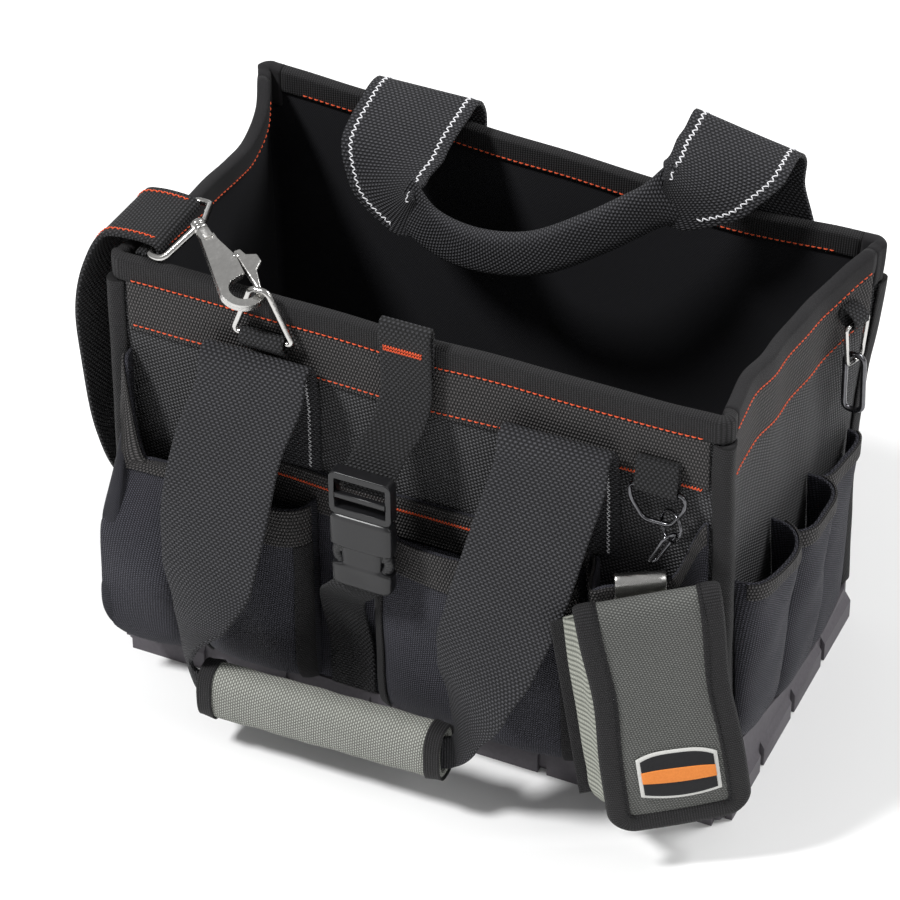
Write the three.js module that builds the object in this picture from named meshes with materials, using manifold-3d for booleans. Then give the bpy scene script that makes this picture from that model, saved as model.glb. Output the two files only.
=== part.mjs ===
// Open top tool tote: a stiff nylon body with bound edges on a moulded base,
// with tool pockets, two webbing handles, a closure strap with a buckle,
// a shoulder strap on a swivel hook and a small pouch.
// Millimetres, +Z up. The front faces -Y and the origin is under the middle of the base.
import * as THREE from "three";
import { mergeVertices } from "three/addons/utils/BufferGeometryUtils.js";
import Module from "manifold-3d";

const wasm = await Module();
wasm.setup();

// Body sizes
const BODY_WIDTH = 324;
const BODY_DEPTH = 176;
const BODY_HEIGHT = 250;
const BASE_WIDTH = 330;
const BASE_DEPTH = 174;
const WALL = 3;
const GAP = 0.4;
const CORNER_RADIUS = 6;
const SIDE_BOW = 8;
const EAR_REACH = 12;

// Moulded base sizes
const TRAY_FLOOR = 4;
const TRAY_WALL = 2.5;
const TRAY_END_HEIGHT = 18;
const TRAY_FRONT_CORNER = 46;
const TRAY_BACK_CORNER = 24;
const LUG_REACH = 2.5;
const LUG_HEIGHT = 16;
const LUG_GAP = 5;

// Edge tapes and bands
const TAPE = 1.4;
const RIM_LEG = 11;
const EAR_LEG = 20;
const BAND_HEIGHT = 28;
const BAND_THICK = 1.4;
const CORNER_TAPE = 12;
const RIM_CLEARANCE = 0.9;

// Pockets
const POCKET_CLOTH = 2;
const POCKET_DEPTH = 20;
const END_POCKET_DEPTH = 28;
const CLIP_POCKET_DEPTH = 32;
const SIDE_POCKET_DEPTH = 18;
const POCKET_BOTTOM = 19;
const POCKET_TOP = 146;
const PANEL_TOP = 153;
const PANEL_THICK = 1.6;
const PANEL_BAND = 24;

// Webbing
const HANDLE_WEB = 56;
const HANDLE_THICK = 2.4;
const CLOSURE_WEB = 26;
const CLOSURE_THICK = 1.8;
const SHOULDER_WEB = 42;
const SHOULDER_THICK = 2.4;
const GRIP_LENGTH = 131.6;
const GRIP_HEIGHT = 32;
const GRIP_THICK = 19;
const GRIP_WALL = 3;
const GRIP_WEB = 17;
const BACK_GRIP_HEIGHT = 24;
const BACK_GRIP_THICK = 13;

// Buckle
const BUCKLE_WIDTH = 33;
const BUCKLE_BODY = 43;
const BUCKLE_FRAME = 26;
const BUCKLE_THICK = 9;

// Metal hardware
const HOOK_LENGTH = 48;
const HOOK_THICK = 4;
const GATE_THICK = 3.6;
const LOOP_WIRE = 3.6;
const RING_WIRE = 3.2;
const SPLIT_RING = 18;
const CLIP_WIDTH = 24;
const CLIP_STEEL = 1.2;

// Pouch
const POUCH_WIDTH = 64;
const POUCH_BACK_WIDTH = 72;
const POUCH_HEIGHT = 123;
const POUCH_WALL = 2;
const FLAP_WIDTH = 69;
const FLAP_THICK = 3;

const MATERIAL = {
  nylon: new THREE.MeshStandardMaterial({ color: 0x1b1b1f, roughness: 0.85 }),
  webbing: new THREE.MeshStandardMaterial({ color: 0x232327, roughness: 0.8 }),
  tape: new THREE.MeshStandardMaterial({ color: 0x29292c, roughness: 0.9 }),
  base: new THREE.MeshStandardMaterial({ color: 0x37333a, roughness: 0.6 }),
  plastic: new THREE.MeshStandardMaterial({ color: 0x202126, roughness: 0.4 }),
  grey: new THREE.MeshStandardMaterial({ color: 0x74756e, roughness: 0.8 }),
  steel: new THREE.MeshStandardMaterial({ color: 0xc8c8c8, roughness: 0.25, metalness: 1 }),
  darkSteel: new THREE.MeshStandardMaterial({ color: 0x3a3a3e, roughness: 0.3, metalness: 1 }),
};

const tote = new THREE.Group();
const vec = (x, y, z) => new THREE.Vector3(x, y, z);
const flat = (x, y) => new THREE.Vector2(x, y);
const lerp = THREE.MathUtils.lerp;
const clamp = THREE.MathUtils.clamp;
const ease = (t) => THREE.MathUtils.smoothstep(t, 0, 1);
const steps = (n) => Array.from({ length: n + 1 }, (_, i) => i / n);

function add(name, geometry, material, parent = tote) {
  const mesh = new THREE.Mesh(geometry, material);
  mesh.name = name;
  parent.add(mesh);
  return mesh;
}

// Reads a column of a table of rows, smoothly, at a share that the rows list in rising order
function readTable(rows, key, column, at) {
  const last = rows.length - 1;
  let i = 0;
  while (i < last - 1 && at > rows[i + 1][key]) i += 1;
  const t = clamp((at - rows[i][key]) / (rows[i + 1][key] - rows[i][key]), 0, 1);
  return lerp(rows[i][column], rows[i + 1][column], ease(t));
}

// Closed solid from vertices and triangles, turned so that its faces point out
function solid(points, triangles) {
  let volume = 0;
  for (const [a, b, c] of triangles) {
    volume += points[a].dot(points[b].clone().cross(points[c]));
  }
  const order = volume < 0 ? triangles.map(([a, b, c]) => [a, c, b]) : triangles;
  const geometry = new THREE.BufferGeometry();
  geometry.setFromPoints(points);
  geometry.setIndex(order.flat());
  return geometry;
}

// Skin over a row of closed rings with equal counts, closed at both ends by flat caps
function skin(rings, capOutline = null) {
  const count = rings[0].length;
  const points = rings.flat();
  const triangles = [];
  for (let r = 0; r < rings.length - 1; r += 1) {
    for (let i = 0; i < count; i += 1) {
      const a = r * count + i;
      const b = r * count + ((i + 1) % count);
      triangles.push([a, b, b + count], [a, b + count, a + count]);
    }
  }
  const outline = capOutline || rings[0].map((p) => flat(p.x, p.y));
  const cap = THREE.ShapeUtils.triangulateShape(outline, []);
  const swept = THREE.ShapeUtils.area(outline) < 0 ? -1 : 1;
  const top = (rings.length - 1) * count;
  for (const [a, b, c] of cap) {
    triangles.push(swept > 0 ? [a, c, b] : [a, b, c]);
    triangles.push(swept > 0 ? [top + a, top + b, top + c] : [top + a, top + c, top + b]);
  }
  return solid(points, orient(triangles));
}

// Turns neighbouring triangles the same way round, starting from the first
function orient(triangles) {
  const edges = new Map();
  triangles.forEach((tri, index) => {
    for (let k = 0; k < 3; k += 1) {
      const a = tri[k];
      const b = tri[(k + 1) % 3];
      const key = a < b ? `${a}_${b}` : `${b}_${a}`;
      if (!edges.has(key)) edges.set(key, []);
      edges.get(key).push(index);
    }
  });
  const turned = triangles.map((tri) => [...tri]);
  const seen = new Set([0]);
  const queue = [0];
  while (queue.length) {
    const index = queue.pop();
    const tri = turned[index];
    for (let k = 0; k < 3; k += 1) {
      const a = tri[k];
      const b = tri[(k + 1) % 3];
      const key = a < b ? `${a}_${b}` : `${b}_${a}`;
      for (const other of edges.get(key)) {
        if (seen.has(other)) continue;
        const o = turned[other];
        const same = [0, 1, 2].some((m) => o[m] === a && o[(m + 1) % 3] === b);
        if (same) o.reverse();
        seen.add(other);
        queue.push(other);
      }
    }
  }
  return turned;
}

// Sheet of cloth: a middle surface of two parameters, thickened along its own normals
function sheet(surface, us, vs, thick) {
  const small = 1e-3;
  const front = [];
  const back = [];
  for (const v of vs) {
    for (const u of us) {
      const du = surface(Math.min(u + small, 1), v).sub(surface(Math.max(u - small, 0), v));
      const dv = surface(u, Math.min(v + small, 1)).sub(surface(u, Math.max(v - small, 0)));
      const normal = du.cross(dv).normalize();
      const middle = surface(u, v);
      front.push(middle.clone().addScaledVector(normal, thick / 2));
      back.push(middle.clone().addScaledVector(normal, -thick / 2));
    }
  }
  const nu = us.length;
  const nv = vs.length;
  const half = front.length;
  const triangles = [];
  const quad = (a, b, c, d) => triangles.push([a, b, c], [a, c, d]);
  for (let j = 0; j < nv - 1; j += 1) {
    for (let i = 0; i < nu - 1; i += 1) {
      const a = j * nu + i;
      quad(a, a + 1, a + nu + 1, a + nu);
      quad(half + a, half + a + nu, half + a + nu + 1, half + a + 1);
    }
  }
  for (let i = 0; i < nu - 1; i += 1) {
    const top = (nv - 1) * nu + i;
    quad(i + 1, i, half + i, half + i + 1);
    quad(top, top + 1, half + top + 1, half + top);
  }
  for (let j = 0; j < nv - 1; j += 1) {
    const left = j * nu;
    const right = j * nu + nu - 1;
    quad(left, left + nu, half + left + nu, half + left);
    quad(right + nu, right, half + right, half + right + nu);
  }
  return solid([...front, ...back], triangles);
}

// Round wire along a curve, open with flat ends or closed on itself
function wire(curve, diameter, segments, closed, sides = 5) {
  const frames = curve.computeFrenetFrames(segments, closed);
  const rings = [];
  const count = closed ? segments : segments + 1;
  for (let i = 0; i < count; i += 1) {
    const centre = curve.getPointAt(i / segments);
    const ring = [];
    for (let k = 0; k < sides; k += 1) {
      const angle = (k / sides) * 2 * Math.PI;
      const point = centre.clone();
      point.addScaledVector(frames.normals[i], (Math.cos(angle) * diameter) / 2);
      point.addScaledVector(frames.binormals[i], (Math.sin(angle) * diameter) / 2);
      ring.push(point);
    }
    rings.push(ring);
  }
  if (!closed) {
    const outline = steps(sides).slice(0, sides).map((t) => {
      const angle = t * 2 * Math.PI;
      return flat(Math.cos(angle), Math.sin(angle));
    });
    return skin(rings, outline);
  }
  const triangles = [];
  for (let r = 0; r < count; r += 1) {
    for (let k = 0; k < sides; k += 1) {
      const a = r * sides + k;
      const b = r * sides + ((k + 1) % sides);
      const c = ((r + 1) % count) * sides + ((k + 1) % sides);
      const d = ((r + 1) % count) * sides + k;
      triangles.push([a, b, c], [a, c, d]);
    }
  }
  return solid(rings.flat(), triangles);
}

// Strap: rows of a centre line with the width and its direction, made a smooth band of cloth
function strapSurface(rows) {
  const centre = new THREE.CatmullRomCurve3(rows.map((r) => r.at), false, "centripetal");
  const across = new THREE.CatmullRomCurve3(rows.map((r) => r.across));
  const width = (t) => {
    const place = t * (rows.length - 1);
    const i = Math.min(Math.floor(place), rows.length - 2);
    return lerp(rows[i].width, rows[i + 1].width, ease(place - i));
  };
  return (u, v) => {
    const side = across.getPoint(v).normalize();
    return centre.getPoint(v).addScaledVector(side, (u - 0.5) * width(v));
  };
}

// Each stretch between two rows is cut into the same number of steps
function strap(rows, thick, cuts, acrossCount = 2) {
  return sheet(strapSurface(rows), steps(acrossCount), steps((rows.length - 1) * cuts), thick);
}

// manifold-3d only joins and cuts
function toManifold(geometry) {
  const bare = geometry.clone();
  bare.deleteAttribute("normal");
  bare.deleteAttribute("uv");
  const merged = mergeVertices(bare, 1e-4);
  return new wasm.Manifold(new wasm.Mesh({
    numProp: 3,
    vertProperties: new Float32Array(merged.attributes.position.array),
    triVerts: new Uint32Array(merged.index.array),
  }));
}

function fromManifold(body) {
  const mesh = body.getMesh();
  const geometry = new THREE.BufferGeometry();
  geometry.setAttribute("position", new THREE.BufferAttribute(mesh.vertProperties, 3));
  geometry.setIndex(new THREE.BufferAttribute(mesh.triVerts, 1));
  return geometry;
}

function box(x0, x1, y0, y1, z0, z1) {
  const geometry = new THREE.BoxGeometry(x1 - x0, y1 - y0, z1 - z0);
  geometry.translate((x0 + x1) / 2, (y0 + y1) / 2, (z0 + z1) / 2);
  return geometry;
}

function extrude(shape, depth, curveSegments = 6) {
  return new THREE.ExtrudeGeometry(shape, { depth, bevelEnabled: false, curveSegments });
}

// The body's walls. Each side has a share along it from -1 to 1 and a height share from 0 to 1.
const BODY_BOTTOM = TRAY_FLOOR + GAP;
const ALONG = [-1, -0.75, -0.5, -0.25, 0, 0.25, 0.5, 0.72, 0.88, 1];
const HEIGHTS = [0, 0.2, 0.45, 0.66, 0.82, 1];

// How far the side walls bow inwards, as shares of SIDE_BOW, from the front to the back
const SIDE_FOLDS = [
  { along: -1, left: 0.1, right: 0.2 },
  { along: -0.6, left: 0.7, right: 0.9 },
  { along: -0.1, left: 1.0, right: 0.8 },
  { along: 0.4, left: 1.0, right: 0.6 },
  { along: 0.7, left: 0.7, right: 0.3 },
  { along: 1, left: 0, right: 0 },
];

// Height of the rim, as shares of BODY_HEIGHT, along each wall
const RIM_HEIGHTS = [
  { along: -1, front: 1.0, right: 1.0, back: 1.02, left: 1.0 },
  { along: -0.5, front: 1.0, right: 0.985, back: 1.0, left: 0.975 },
  { along: 0, front: 0.995, right: 0.95, back: 0.985, left: 0.96 },
  { along: 0.5, front: 0.995, right: 0.935, back: 0.955, left: 0.945 },
  { along: 1, front: 1.0, right: 0.97, back: 0.97, left: 1.02 },
];

const halfWidth = (h) => lerp(BASE_WIDTH, BODY_WIDTH, h) / 2;
const halfDepth = (h) => lerp(BASE_DEPTH, BODY_DEPTH, h) / 2;
const rimHeight = (side, s) => BODY_HEIGHT * readTable(RIM_HEIGHTS, "along", side, s);

// Outer face of a side wall: it bows in near the rim and flares out at the back corner
function sideReach(side, s, h) {
  const bow = SIDE_BOW * readTable(SIDE_FOLDS, "along", side, s) * ease((h - 0.2) / 0.8);
  const ear = EAR_REACH * ease((s - 0.5) / 0.5) * ease((h - 0.45) / 0.55);
  return halfWidth(h) - bow + ear * (side === "right" ? 1 : 0.35);
}

function exactWall(side, s, h) {
  if (side === "right" || side === "left") {
    const x = sideReach(side, s, h) * (side === "right" ? 1 : -1);
    return flat(x, s * halfDepth(h));
  }
  const end = side === "front" ? -1 : 1;
  const x = lerp(-sideReach("left", end, h), sideReach("right", end, h), (s + 1) / 2);
  return flat(x, end * halfDepth(h));
}

const OUTWARD = { front: flat(0, -1), right: flat(1, 0), back: flat(0, 1), left: flat(-1, 0) };

// Finds the interval of a list that holds a value, and the share within it
function locate(list, value) {
  let i = 0;
  while (i < list.length - 2 && value > list[i + 1]) i += 1;
  return { i, t: (value - list[i]) / (list[i + 1] - list[i]) };
}

// A point on the wall at a share along it and a height z, moved outwards. The wall is faceted
// between the same stations for every piece, so that pieces follow each other exactly.
function wallPoint(side, s, z, out = 0) {
  const a = locate(ALONG, s);
  const low = ALONG[a.i];
  const high = ALONG[a.i + 1];
  const rim = lerp(rimHeight(side, low), rimHeight(side, high), a.t);
  const h = (z - BODY_BOTTOM) / (rim - BODY_BOTTOM);
  const b = locate(HEIGHTS, h);
  const row = (height) => exactWall(side, low, height).lerp(exactWall(side, high, height), a.t);
  const point = row(HEIGHTS[b.i]).lerp(row(HEIGHTS[b.i + 1]), b.t);
  point.addScaledVector(OUTWARD[side], out);
  return vec(point.x, point.y, z);
}

const rimAt = (side, s) => {
  const a = locate(ALONG, s);
  return lerp(rimHeight(side, ALONG[a.i]), rimHeight(side, ALONG[a.i + 1]), a.t);
};

// Shares and lengths along a wall
const sideLength = { front: BODY_WIDTH, back: BODY_WIDTH, left: BODY_DEPTH, right: BODY_DEPTH };
const shareOf = (side, length) => (2 * length) / sideLength[side];
const onFront = (x, z, out) => wallPoint("front", shareOf("front", x), z, out);
const onBack = (x, z, out) => wallPoint("back", shareOf("back", x), z, out);
const onRight = (y, z, out) => wallPoint("right", shareOf("right", y), z, out);
const onLeft = (y, z, out) => wallPoint("left", shareOf("left", y), z, out);

// The stations of a wall between two shares, as parameters from 0 to 1
function stations(from, to) {
  const inner = ALONG.filter((s) => s > from + 0.02 && s < to - 0.02);
  return [from, ...inner, to].map((s) => (s - from) / (to - from));
}

const CORNERS = [
  { name: "front_left", a: "left", sa: -1, b: "front", sb: -1 },
  { name: "front_right", a: "front", sa: 1, b: "right", sb: -1 },
  { name: "back_right", a: "right", sa: 1, b: "back", sb: 1 },
  { name: "back_left", a: "back", sa: -1, b: "left", sb: 1 },
];
const cornerOf = (name) => CORNERS.find((c) => c.name === name);

// A point on the rounded corner between two walls, moved outwards along the diagonal
function cornerPoint(corner, z, out) {
  const p = wallPoint(corner.a, corner.sa, z);
  const inset = out - 0.29 * CORNER_RADIUS;
  const move = OUTWARD[corner.a].clone().add(OUTWARD[corner.b]).multiplyScalar(inset);
  return vec(p.x + move.x, p.y + move.y, z);
}

// A ring round the body: each wall's stations, and one point on each rounded corner
const ROUND = [
  { side: "front", forward: true, corner: "front_right" },
  { side: "right", forward: true, corner: "back_right" },
  { side: "back", forward: false, corner: "back_left" },
  { side: "left", forward: false, corner: "front_left" },
];

function ring(heightAt, out) {
  const points = [];
  for (const { side, forward, corner } of ROUND) {
    const edge = shareOf(side, CORNER_RADIUS);
    const shares = ALONG.map((s) => clamp(s, -1 + edge, 1 - edge));
    for (const s of forward ? shares : shares.reverse()) {
      points.push(wallPoint(side, s, heightAt(side, s), out));
    }
    const c = cornerOf(corner);
    points.push(cornerPoint(c, heightAt(c.a, c.sa), out));
  }
  return points;
}

// Bag shell: outer wall up, over the rim, and the inner wall down to the floor
function bagShell() {
  const level = (bottom, h) => (side, s) => lerp(bottom, rimAt(side, s), h);
  const outer = HEIGHTS.map((h) => ring(level(BODY_BOTTOM, h), 0));
  const inner = [...HEIGHTS].reverse().map((h) => {
    const height = (side, s) => Math.max(level(BODY_BOTTOM, h)(side, s), BODY_BOTTOM + WALL);
    return ring(height, -WALL);
  });
  return skin([...outer, ...inner]);
}
add("bag_shell", bagShell(), MATERIAL.nylon);

// Moulded base: a shallow tray round the foot of the body, higher at its corners, on lugs
const TRAY_SIDE = [
  { along: -1, height: 46 },
  { along: -0.5, height: 33 },
  { along: 0, height: 21 },
  { along: 0.5, height: 15 },
  { along: 1, height: 22 },
];

function trayTop(side, s) {
  const front = side === "front" || (side !== "back" && s < 0);
  if (Math.abs(s) === 1) return front ? TRAY_FRONT_CORNER : TRAY_BACK_CORNER;
  if (side === "front" || side === "back") return TRAY_END_HEIGHT;
  return readTable(TRAY_SIDE, "along", "height", s);
}

function lug(side, centre, length) {
  const along = side === "front" || side === "back";
  const reach = (along ? BASE_DEPTH / 2 : BASE_WIDTH / 2) + GAP + 1;
  const section = new THREE.Shape([
    flat(reach, 0),
    flat(reach + TRAY_WALL + LUG_REACH - 1, 0),
    flat(reach + TRAY_WALL + LUG_REACH - 1, LUG_HEIGHT * 0.7),
    flat(reach + TRAY_WALL - 1.4, LUG_HEIGHT),
    flat(reach, LUG_HEIGHT),
  ]);
  const geometry = extrude(section, length);
  geometry.rotateX(Math.PI / 2);
  geometry.translate(0, centre + length / 2, 0);
  const turn = { right: 0, back: Math.PI / 2, left: Math.PI, front: -Math.PI / 2 };
  geometry.rotateZ(turn[side]);
  return geometry;
}

function baseTray() {
  const outside = GAP + TRAY_WALL;
  const rings = [
    ring(() => 0, outside - 1.5),
    ring(() => 3, outside),
    ring(trayTop, outside),
    ring(trayTop, GAP),
    ring(() => TRAY_FLOOR, GAP),
  ];
  let body = toManifold(skin(rings));
  for (const side of ["front", "back", "left", "right"]) {
    const whole = side === "front" || side === "back" ? BASE_WIDTH : BASE_DEPTH;
    const count = Math.round(whole / 46);
    const pitch = whole / count;
    for (let i = 0; i < count; i += 1) {
      const centre = (i + 0.5) * pitch - whole / 2;
      body = body.add(toManifold(lug(side, centre, pitch - LUG_GAP)));
    }
  }
  return fromManifold(body.simplify(0.04));
}
add("base_tray", baseTray(), MATERIAL.base);

// Rim tapes: a folded tape over the edge of the wall
function rimSection(leg, thick, full) {
  const inside = -WALL - GAP;
  return [
    flat(GAP, -leg),
    flat(GAP + thick, -leg),
    flat(GAP + thick + full, -leg / 2),
    flat(GAP + thick + full / 2, 0.6),
    flat(0, RIM_CLEARANCE + thick + full),
    flat(-WALL, RIM_CLEARANCE + thick + full),
    flat(inside - thick - full / 2, 0.6),
    flat(inside - thick, -leg),
    flat(inside, -leg),
    flat(inside, RIM_CLEARANCE),
    flat(GAP, RIM_CLEARANCE),
  ];
}

const alongWall = (side, s) => (p) => wallPoint(side, s, rimAt(side, s) + p.y, p.x);
const roundCorner = (name) => (p) => {
  const c = cornerOf(name);
  return cornerPoint(c, rimAt(c.a, c.sa) + p.y, p.x);
};

function sweep(section, places) {
  return skin(places.map((place) => section.map((p) => place(p))), section);
}

function wallPlaces(side, from, to) {
  return stations(from, to).map((t) => alongWall(side, lerp(from, to, t)));
}

const TURN = 11;
const endShare = (side, length) => 1 - shareOf(side, length);

function rimTapes() {
  const flatTape = rimSection(RIM_LEG, TAPE, 0);
  const softTape = rimSection(RIM_LEG, TAPE, 1.2);
  const sideFrom = -endShare("right", TURN);
  const sideTo = endShare("right", TURN);
  const backTo = endShare("back", TURN);
  const corner = endShare("right", CORNER_RADIUS);
  const cornerX = endShare("front", CORNER_RADIUS);
  const front = [
    alongWall("left", sideFrom - shareOf("left", GAP)),
    alongWall("left", -corner),
    roundCorner("front_left"),
    ...wallPlaces("front", -cornerX, cornerX),
    roundCorner("front_right"),
    alongWall("right", -corner),
    alongWall("right", sideFrom - shareOf("right", GAP)),
  ];
  add("rim_binding_front", sweep(flatTape, front), MATERIAL.tape);
  add("rim_binding_back", sweep(flatTape, wallPlaces("back", -backTo, backTo)), MATERIAL.tape);
  add("rim_binding_left", sweep(softTape, wallPlaces("left", sideFrom, sideTo)), MATERIAL.tape);
  add("rim_binding_right", sweep(softTape, wallPlaces("right", sideFrom, sideTo)), MATERIAL.tape);
}
rimTapes();

// Ear caps: the tape folded deep over each back corner
function earCap(name, a, b) {
  const section = rimSection(EAR_LEG, TAPE, 1.6);
  const from = (side) => endShare(side, TURN - GAP);
  const corner = (side) => endShare(side, CORNER_RADIUS);
  const sign = (side) => (side === "back" && name === "back_left" ? -1 : 1);
  const places = [
    alongWall(a, sign(a) * from(a)),
    alongWall(a, sign(a) * corner(a)),
    roundCorner(name),
    alongWall(b, sign(b) * corner(b)),
    alongWall(b, sign(b) * from(b)),
  ];
  return sweep(section, places);
}
add("ear_cap_right", earCap("back_right", "right", "back"), MATERIAL.tape);
add("ear_cap_left", earCap("back_left", "back", "left"), MATERIAL.tape);

// Tape over each upright corner seam, in a section whose second value points out of the corner
function cornerTape(corner, top) {
  const half = CORNER_TAPE / 2;
  const section = [
    flat(-half, -1.6),
    flat(-half * 0.7, 2.4),
    flat(0, 5.2),
    flat(half * 0.7, 2.4),
    flat(half, -1.6),
    flat(half - 0.8, -2.3),
    flat(4.8, 0.8),
    flat(-4.8, 0.8),
    flat(-half + 0.8, -2.3),
  ];
  const out = OUTWARD[corner.a].clone().add(OUTWARD[corner.b]).normalize();
  const across = flat(-out.y, out.x);
  const levels = [0, 0.2, 0.45, 0.66, 0.82, 1];
  const front = corner.name.startsWith("front");
  const bottom = (front ? TRAY_FRONT_CORNER : TRAY_BACK_CORNER) + 2 * GAP;
  const rings = levels.map((t) => {
    const z = lerp(bottom, top, t);
    const p = cornerPoint(corner, z, 0);
    return section.map((q) => vec(
      p.x + across.x * q.x + out.x * q.y,
      p.y + across.y * q.x + out.y * q.y,
      z,
    ));
  });
  return skin(rings, section);
}
for (const corner of CORNERS) {
  const leg = corner.name.startsWith("back") ? EAR_LEG : RIM_LEG;
  const top = rimAt(corner.a, corner.sa) - leg - 3 * GAP;
  add(`corner_binding_${corner.name}`, cornerTape(corner, top), MATERIAL.tape);
}

// Webbing bands under the rim tape
const BAND_END = 9;
const BAND_DROP = RIM_LEG + GAP;
function band(side) {
  const end = endShare(side, side === "back" ? EAR_LEG : BAND_END);
  const rear = side === "left" || side === "right" ? endShare(side, TURN + GAP) : end;
  const surface = (u, v) => {
    const s = lerp(-end, rear, u);
    const top = rimAt(side, s) - BAND_DROP;
    return wallPoint(side, s, top - BAND_HEIGHT * (1 - v), GAP + BAND_THICK / 2);
  };
  return sheet(surface, stations(-end, rear), steps(1), BAND_THICK);
}
for (const side of ["front", "back", "left", "right"]) {
  add(`band_${side}`, band(side), MATERIAL.webbing);
}
const bandBottom = (side, s) => rimAt(side, s) - BAND_DROP - BAND_HEIGHT;

// Pockets. Each is an open cloth pouch sewn to the wall along its sides and its foot.
const swell = (t, power = 2.6) => (1 - Math.abs(2 * t - 1) ** power) ** (1 / power);
const footRise = (t, share) => swell(Math.min(t / share, 1) / 2, 2.4);
const POCKET_ROWS = [0, 0.1, 0.3, 0.62, 1];

function pocket(side, shape) {
  const { from, to, bottomAt, topAt, depthAt, seat, across = 10 } = shape;
  const round = shape.round || swell;
  const exact = (u, v) => {
    const length = lerp(from, to, u);
    const z = lerp(bottomAt(u), topAt(u), v);
    const out = seat + depthAt(u, v) * round(u) * footRise(v, 0.3);
    return wallPoint(side, shareOf(side, length), z, out);
  };
  const shares = steps(across).map((t) => (t + ease(t)) / 2);
  const surface = faceted(exact, shares, POCKET_ROWS);
  return { surface, shares, geometry: sheet(surface, shares, POCKET_ROWS, POCKET_CLOTH) };
}

// The same surface made of flat facets between the given stations
function faceted(surface, us, vs) {
  const grid = vs.map((v) => us.map((u) => surface(u, v)));
  return (u, v) => {
    const a = locate(us, u);
    const b = locate(vs, v);
    const low = grid[b.i][a.i].clone().lerp(grid[b.i][a.i + 1], a.t);
    const high = grid[b.i + 1][a.i].clone().lerp(grid[b.i + 1][a.i + 1], a.t);
    return low.lerp(high, b.t);
  };
}

// Flat panel behind the middle pockets with its webbing top
const PANEL_LEFT = -118;
const PANEL_RIGHT = 93;
const PANEL_SEAT = GAP + PANEL_THICK / 2;
function frontSheet(x0, x1, z0, z1, out, thick) {
  const from = shareOf("front", x0);
  const to = shareOf("front", x1);
  const surface = (u, v) => wallPoint("front", lerp(from, to, u), lerp(z0, z1, v), out);
  const levels = z1 - z0 > 60 ? steps(4) : steps(1);
  return sheet(surface, stations(from, to), levels, thick);
}
const FRONT_FOOT = TRAY_END_HEIGHT + 2 * GAP;
add(
  "front_panel",
  frontSheet(PANEL_LEFT, PANEL_RIGHT, FRONT_FOOT, PANEL_TOP, PANEL_SEAT, PANEL_THICK),
  MATERIAL.nylon,
);
const PANEL_OUT = GAP + PANEL_THICK;
const PANEL_BAND_SEAT = PANEL_OUT + GAP + BAND_THICK / 2;
add(
  "panel_band",
  frontSheet(PANEL_LEFT, PANEL_RIGHT, PANEL_TOP - PANEL_BAND, PANEL_TOP, PANEL_BAND_SEAT, BAND_THICK),
  MATERIAL.webbing,
);

// Front pockets: the left end pocket is cut low in front and climbs at the corner
const POCKET_SEAT = PANEL_OUT + BAND_THICK + 2 * GAP + POCKET_CLOTH / 2;
const END_SEAT = GAP + POCKET_CLOTH / 2;
const LEFT_CLIMB = 56;
const RECESS_LEFT = -52;
const RECESS_RIGHT = -16;
const CLIP_PEAK = 0.2;
const CLIP_MOUTH = [
  { u: 0, z: 150 },
  { u: 0.3, z: 157 },
  { u: 0.72, z: 157 },
  { u: 1, z: 190 },
];
const full = (depth) => (u, v) => depth * (1 - 0.12 * ease((v - 0.6) / 0.4));
const ridge = (u) => (u < CLIP_PEAK ? ease(u / CLIP_PEAK) : (1 - u) / (1 - CLIP_PEAK));
const flatFoot = () => POCKET_BOTTOM;
const FRONT_POCKETS = {
  pocket_end_left: pocket("front", {
    from: -BODY_WIDTH / 2 + 9,
    to: PANEL_LEFT - 3,
    bottomAt: flatFoot,
    topAt: (u) => POCKET_TOP - 5 + LEFT_CLIMB * ease((0.42 - u) / 0.42),
    depthAt: (u, v) => END_POCKET_DEPTH * (1 - 0.55 * ease((v - 0.45) / 0.55)),
    seat: END_SEAT,
  }),
  pocket_left: pocket("front", {
    from: PANEL_LEFT + 4,
    to: RECESS_LEFT,
    bottomAt: () => POCKET_BOTTOM + 4,
    topAt: () => POCKET_TOP - 8,
    depthAt: full(POCKET_DEPTH),
    seat: POCKET_SEAT - 0.7,
  }),
  pocket_right: pocket("front", {
    from: RECESS_RIGHT,
    to: PANEL_RIGHT - 2,
    bottomAt: () => POCKET_BOTTOM + 1,
    topAt: () => POCKET_TOP - 4,
    depthAt: full(POCKET_DEPTH),
    seat: POCKET_SEAT - 0.7,
    across: 12,
  }),
  pocket_end_right: pocket("front", {
    from: PANEL_RIGHT + 3,
    to: BODY_WIDTH / 2 - 9,
    bottomAt: flatFoot,
    topAt: (u) => readTable(CLIP_MOUTH, "u", "z", u),
    depthAt: full(CLIP_POCKET_DEPTH),
    seat: END_SEAT,
    round: ridge,
  }),
};
for (const [name, { geometry }] of Object.entries(FRONT_POCKETS)) {
  add(name, geometry, MATERIAL.nylon);
}

// Side pockets: slim half cones that taper to the foot, and a flat sleeve behind them
const SIDE_POCKETS = [
  { name: "side_pocket_front", from: -0.85, to: -0.27, top: 146, depth: 1 },
  { name: "side_pocket_middle", from: -0.22, to: 0.3, top: 137, depth: 1 },
  { name: "side_pocket_rear", from: 0.36, to: 0.84, top: 132, depth: 0.5 },
];
for (const shape of SIDE_POCKETS) {
  const half = BODY_DEPTH / 2;
  const { geometry } = pocket("right", {
    from: shape.from * half,
    to: shape.to * half,
    bottomAt: (u) => trayTop("right", lerp(shape.from, shape.to, u)) + 2,
    topAt: () => shape.top,
    depthAt: (u, v) => SIDE_POCKET_DEPTH * shape.depth * (0.3 + 0.7 * v),
    seat: END_SEAT,
    across: 8,
  });
  add(shape.name, geometry, MATERIAL.nylon);
}

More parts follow.
